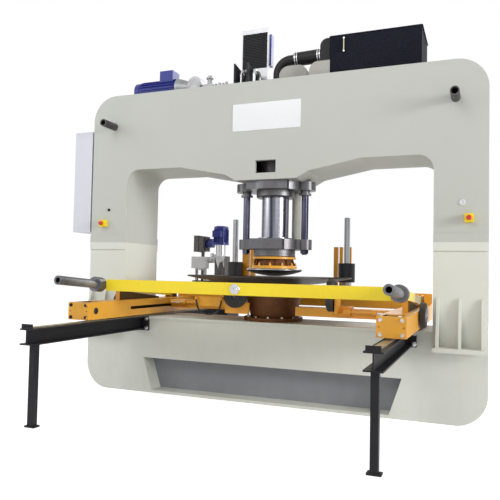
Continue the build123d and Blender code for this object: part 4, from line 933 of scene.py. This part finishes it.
gearPanel = {
    "low": (-1.928, -0.2, 1.62), "high": (-1.925, 0.23, 2.51), "front": -1.928,
    "studs": {"x": -1.9262, "across": (-0.17, 0.2), "heights": (1.66, 2.47),
              "profile": ((0.006, 0), (0.006, 0.032)), "sides": 12},
    # rows of devices: height, depth, first and last place, count, half height
    "rows": ((2.40, 0.085, -0.16, 0.19, 5, 0.045), (2.21, 0.07, -0.16, 0.19, 9, 0.045),
             (2.02, 0.075, -0.16, 0.19, 7, 0.045), (1.80, 0.045, -0.17, 0.2, 16, 0.028)),
    "fill": 0.84, "edge": 0.002,
    "rail": {"deep": 0.008, "sunk": 0.0005, "beyond": 0.02, "half": 0.017, "edge": 0.001},
    "seat": 0.0075, "lever": {"wide": 0.4, "tall": 0.3, "out": 0.006, "sunk": 0.001},
}


def makeGearPanel(spec):
    panel, gear, rails = Shape(), Shape(), Shape()
    rail, lever, studs = spec["rail"], spec["lever"], spec["studs"]
    panel.bar(spec["low"], spec["high"], rail["edge"])
    for y in studs["across"]:
        for z in studs["heights"]:
            panel.turned(studs["profile"], (studs["x"], y, z), (1, 0, 0), studs["sides"])
    for z, deep, y0, y1, count, tall in spec["rows"]:
        rails.bar((spec["front"] - rail["deep"], y0 - rail["beyond"], z - rail["half"]),
                  (spec["front"] + rail["sunk"], y1 + rail["beyond"], z + rail["half"]), rail["edge"])
        step = (y1 - y0) / count
        half = spec["fill"] * step / 2
        front = spec["front"] - spec["seat"]
        wide, high = lever["wide"] * half, lever["tall"] * tall
        for k in range(count):
            y = y0 + (k + 0.5) * step
            gear.bar((front - deep, y - half, z - tall), (front, y + half, z + tall), spec["edge"])
            gear.bar((front - deep - lever["out"], y - wide, z - high),
                     (front - deep + lever["sunk"], y + wide, z + high), rail["edge"])
    panel.makeCrisp("gearPanel", "frame", "zincSteel", "bright_steel")
    rails.makeCrisp("gearRails", "frame", "zincSteel", "bright_steel")
    gear.makeCrisp("gearDevices", "frame", "greyPlastic", "grey_plastic")


coreFins = {
    "tubes": 22, "rows": 46, "fin": 0.0008, "tubeHalf": 0.0028, "tubeLead": 0.001, "tubeEdge": 0.0008,
    "foot": 3.1465, "left": 0.009, "right": 0.006, "front": 0.0035, "back": 0.0102, "head": 0.0435,
}


def makeCoreFins(spec):
    low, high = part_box("cooler_frame")
    x0, x1 = low.x + spec["left"], high.x - spec["right"]
    y0, y1 = low.y + spec["front"], low.y + spec["back"]
    z0, z1 = spec["foot"], high.z - spec["head"]
    half = spec["tubeHalf"]
    fins, tubes = Shape(), Shape()
    pitch = (z1 - z0) / spec["tubes"]
    for k in range(spec["tubes"]):
        z = z0 + (k + 0.5) * pitch
        tubes.bar((x0, y0 - spec["tubeLead"], z - half), (x1, y1, z + half), spec["tubeEdge"])
    step = (x1 - x0) / spec["rows"]
    for k in range(spec["tubes"] + 1):  # zigzag strips between the tubes
        a = z0 + ((k - 0.5) * pitch + half) if k else z0
        b = min(z1, z0 + (k + 0.5) * pitch - half)
        base = len(fins.verts)
        for j in range(spec["rows"] + 1):
            x = x0 + j * step
            z = a if j % 2 else b
            for y in (y0, y1):
                fins.verts.append(Vector((x, y, z)))
                fins.verts.append(Vector((x + spec["fin"], y, z)))
        for j in range(spec["rows"]):
            p, q = base + 4 * j, base + 4 * (j + 1)
            fins.faces += [(p, q, q + 2, p + 2), (p + 1, p + 3, q + 3, q + 1), (p, p + 1, q + 1, q)]
    fins.make("coolerFins", "frame", "finAlloy", slot="cooler_alloy")
    tubes.makeCrisp("coolerTubes", "frame", "finAlloy", "cooler_alloy")


sightGauge = {
    "left": 0.132, "low": 3.133, "high": 3.239, "lead": 0.004, "tube": 0.005, "tubeSides": 16,
    "screw": ((0.009, 0), (0.009, 0.004), (0.006, 0.008)), "screwGap": 0.004, "screwLead": 0.002,
    "screwSides": 20,
}


def makeSightGauge(spec):
    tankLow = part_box("tank")[0]
    x, y = tankLow.x + spec["left"], tankLow.y
    low, high, gap = spec["low"], spec["high"], spec["screwGap"]
    screws, glass = Shape(), Shape()
    glass.turned([(spec["tube"], 0), (spec["tube"], high - low)], (x, y - spec["lead"], low), (0, 0, 1),
                 spec["tubeSides"])
    for z in (low - gap, high + gap):
        screws.turned(spec["screw"], (x, y - spec["screwLead"], z), (0, -1, 0), spec["screwSides"])
    screws.makeCrisp("gaugeScrews", "frame", "zincSteel", "bright_steel")
    glass.makeCrisp("gaugeGlass", "frame", "gaugeClear", "grey_plastic")


weldRipple = {"sides": 8, "ripple": 0.16, "pitch": 0.006}
beamFoot = 0.7985  # height of the welds between side beams and cross arms
welds = {
    "frameWelds": {"body": "frame", "finish": "bedPaint", "slot": "frame_paint", "radius": 0.004,
                   "runs": [[(side * 1.458, -0.3012, 1.444), (side * 1.873, -0.3012, 1.444)]
                            for side in (-1, 1)]},
    "carriageWelds": {"body": "carriage", "finish": "orangePaint", "slot": "orange_paint", "radius": 0.0035,
                      "runs": [[(x, 0.6805, 1.001), (x + wide, 0.6805, 1.001)]
                               for x, wide in ((-0.61, 0.075), (-0.517, 0.049), (0.405, 0.042),
                                               (0.465, 0.031), (0.558, 0.026))]
                      + [[(1.17, -0.27, beamFoot), (1.17, -0.14, beamFoot)],
                         [(-1.17, 0.135, beamFoot), (-1.17, 0.265, beamFoot)]]},
}


def makeWeld(name, spec):
    shape = Shape()
    for run in spec["runs"]:
        shape.bead(run, spec["radius"], **weldRipple)
    shape.make(name, spec["body"], spec["finish"], smooth=True, slot=spec["slot"])


driveHubs = {
    "Left": {"place": (-0.253, -0.354, 0.9556), "axis": (0, -1, 0), "body": "drive_wheel_l",
             "unit": "drive_unit_l"},
    "Right": {"place": (0.622, -0.366, 0.99), "axis": (-1, 0, 0), "body": "drive_wheel_r",
              "unit": "drive_unit_r"},
}
driveHubForm = {
    "plate": ((0.052, 0), (0.052, 0.003), (0.046, 0.006), (0.03, 0.006), (0.028, 0.001), (0.018, 0.001)),
    "plateSides": 40, "bolts": 5, "ring": 0.038, "boltSeat": 0.006, "flats": 0.009,
    "cap": ((0.0155, 0), (0.0155, 0.008), (0.012, 0.011)), "capSides": 24, "capSunk": 0.001,
}


def makeDriveHub(side, spec, form):
    shape = Shape()
    at, axis = Vector(spec["place"]), Vector(spec["axis"])
    shape.turned(form["plate"], at, axis, form["plateSides"])
    turn = axis.to_track_quat("Z", "Y").to_matrix()
    for k in range(form["bolts"]):
        a = 2 * pi * k / form["bolts"]
        spot = turn @ Vector((form["ring"] * cos(a), form["ring"] * sin(a), 0))
        shape.hexBolt(at + axis * form["boltSeat"] + spot, axis, form["flats"])
    shape.makeCrisp("driveHub" + side, spec["body"], "rollerSteel")
    cap = Shape()
    cap.turned(form["cap"], at - axis * form["capSunk"], axis, form["capSides"])
    cap.makeCrisp("driveAxleEnd" + side, spec["unit"], "darkSteel")


tyreHubs = {
    "x": 1.4, "y": -0.44, "z": 0.862, "half": 0.023,
    "plate": ((0.058, -0.004), (0.056, 0.003), (0.044, 0.002), (0.03, 0.006), (0.024, 0.012), (0.012, 0.013)),
    "plateSides": 40, "bolts": 5, "ring": 0.046, "boltSeat": 0.002, "flats": 0.008,
}


def makeTyreHubs(spec):
    for side, letter in ((-1, "l"), (1, "r")):
        shape = Shape()
        at = Vector((side * (spec["x"] + spec["half"]), spec["y"], spec["z"]))
        axis = Vector((side, 0, 0))
        shape.turned(spec["plate"], at, axis, spec["plateSides"])
        for k in range(spec["bolts"]):
            a = 2 * pi * k / spec["bolts"]
            spot = Vector((side * spec["boltSeat"], spec["ring"] * cos(a), spec["ring"] * sin(a)))
            shape.hexBolt(at + spot, axis, spec["flats"])
        shape.makeCrisp("sideHub" + letter.upper(), "side_wheel_" + letter, "valveSteel")


makeRailBolts(railBolts)
makeHeadScrews(headScrews)
makeEndBolts(endBolts)
makeBeamGrommets(beamGrommets)
makeDrumBolts(drumBolts)
for capName, capSpec in frontCaps.items():
    makeFrontCap(capName, capSpec)
makeHoseClamps(hoseClamps)
makeGearPanel(gearPanel)
makeCoreFins(coreFins)
makeSightGauge(sightGauge)
for weldName, weldSpec in welds.items():
    makeWeld(weldName, weldSpec)
for hubSide, hubSpec in driveHubs.items():
    makeDriveHub(hubSide, hubSpec, driveHubForm)
makeTyreHubs(tyreHubs)
print("detail pieces made")
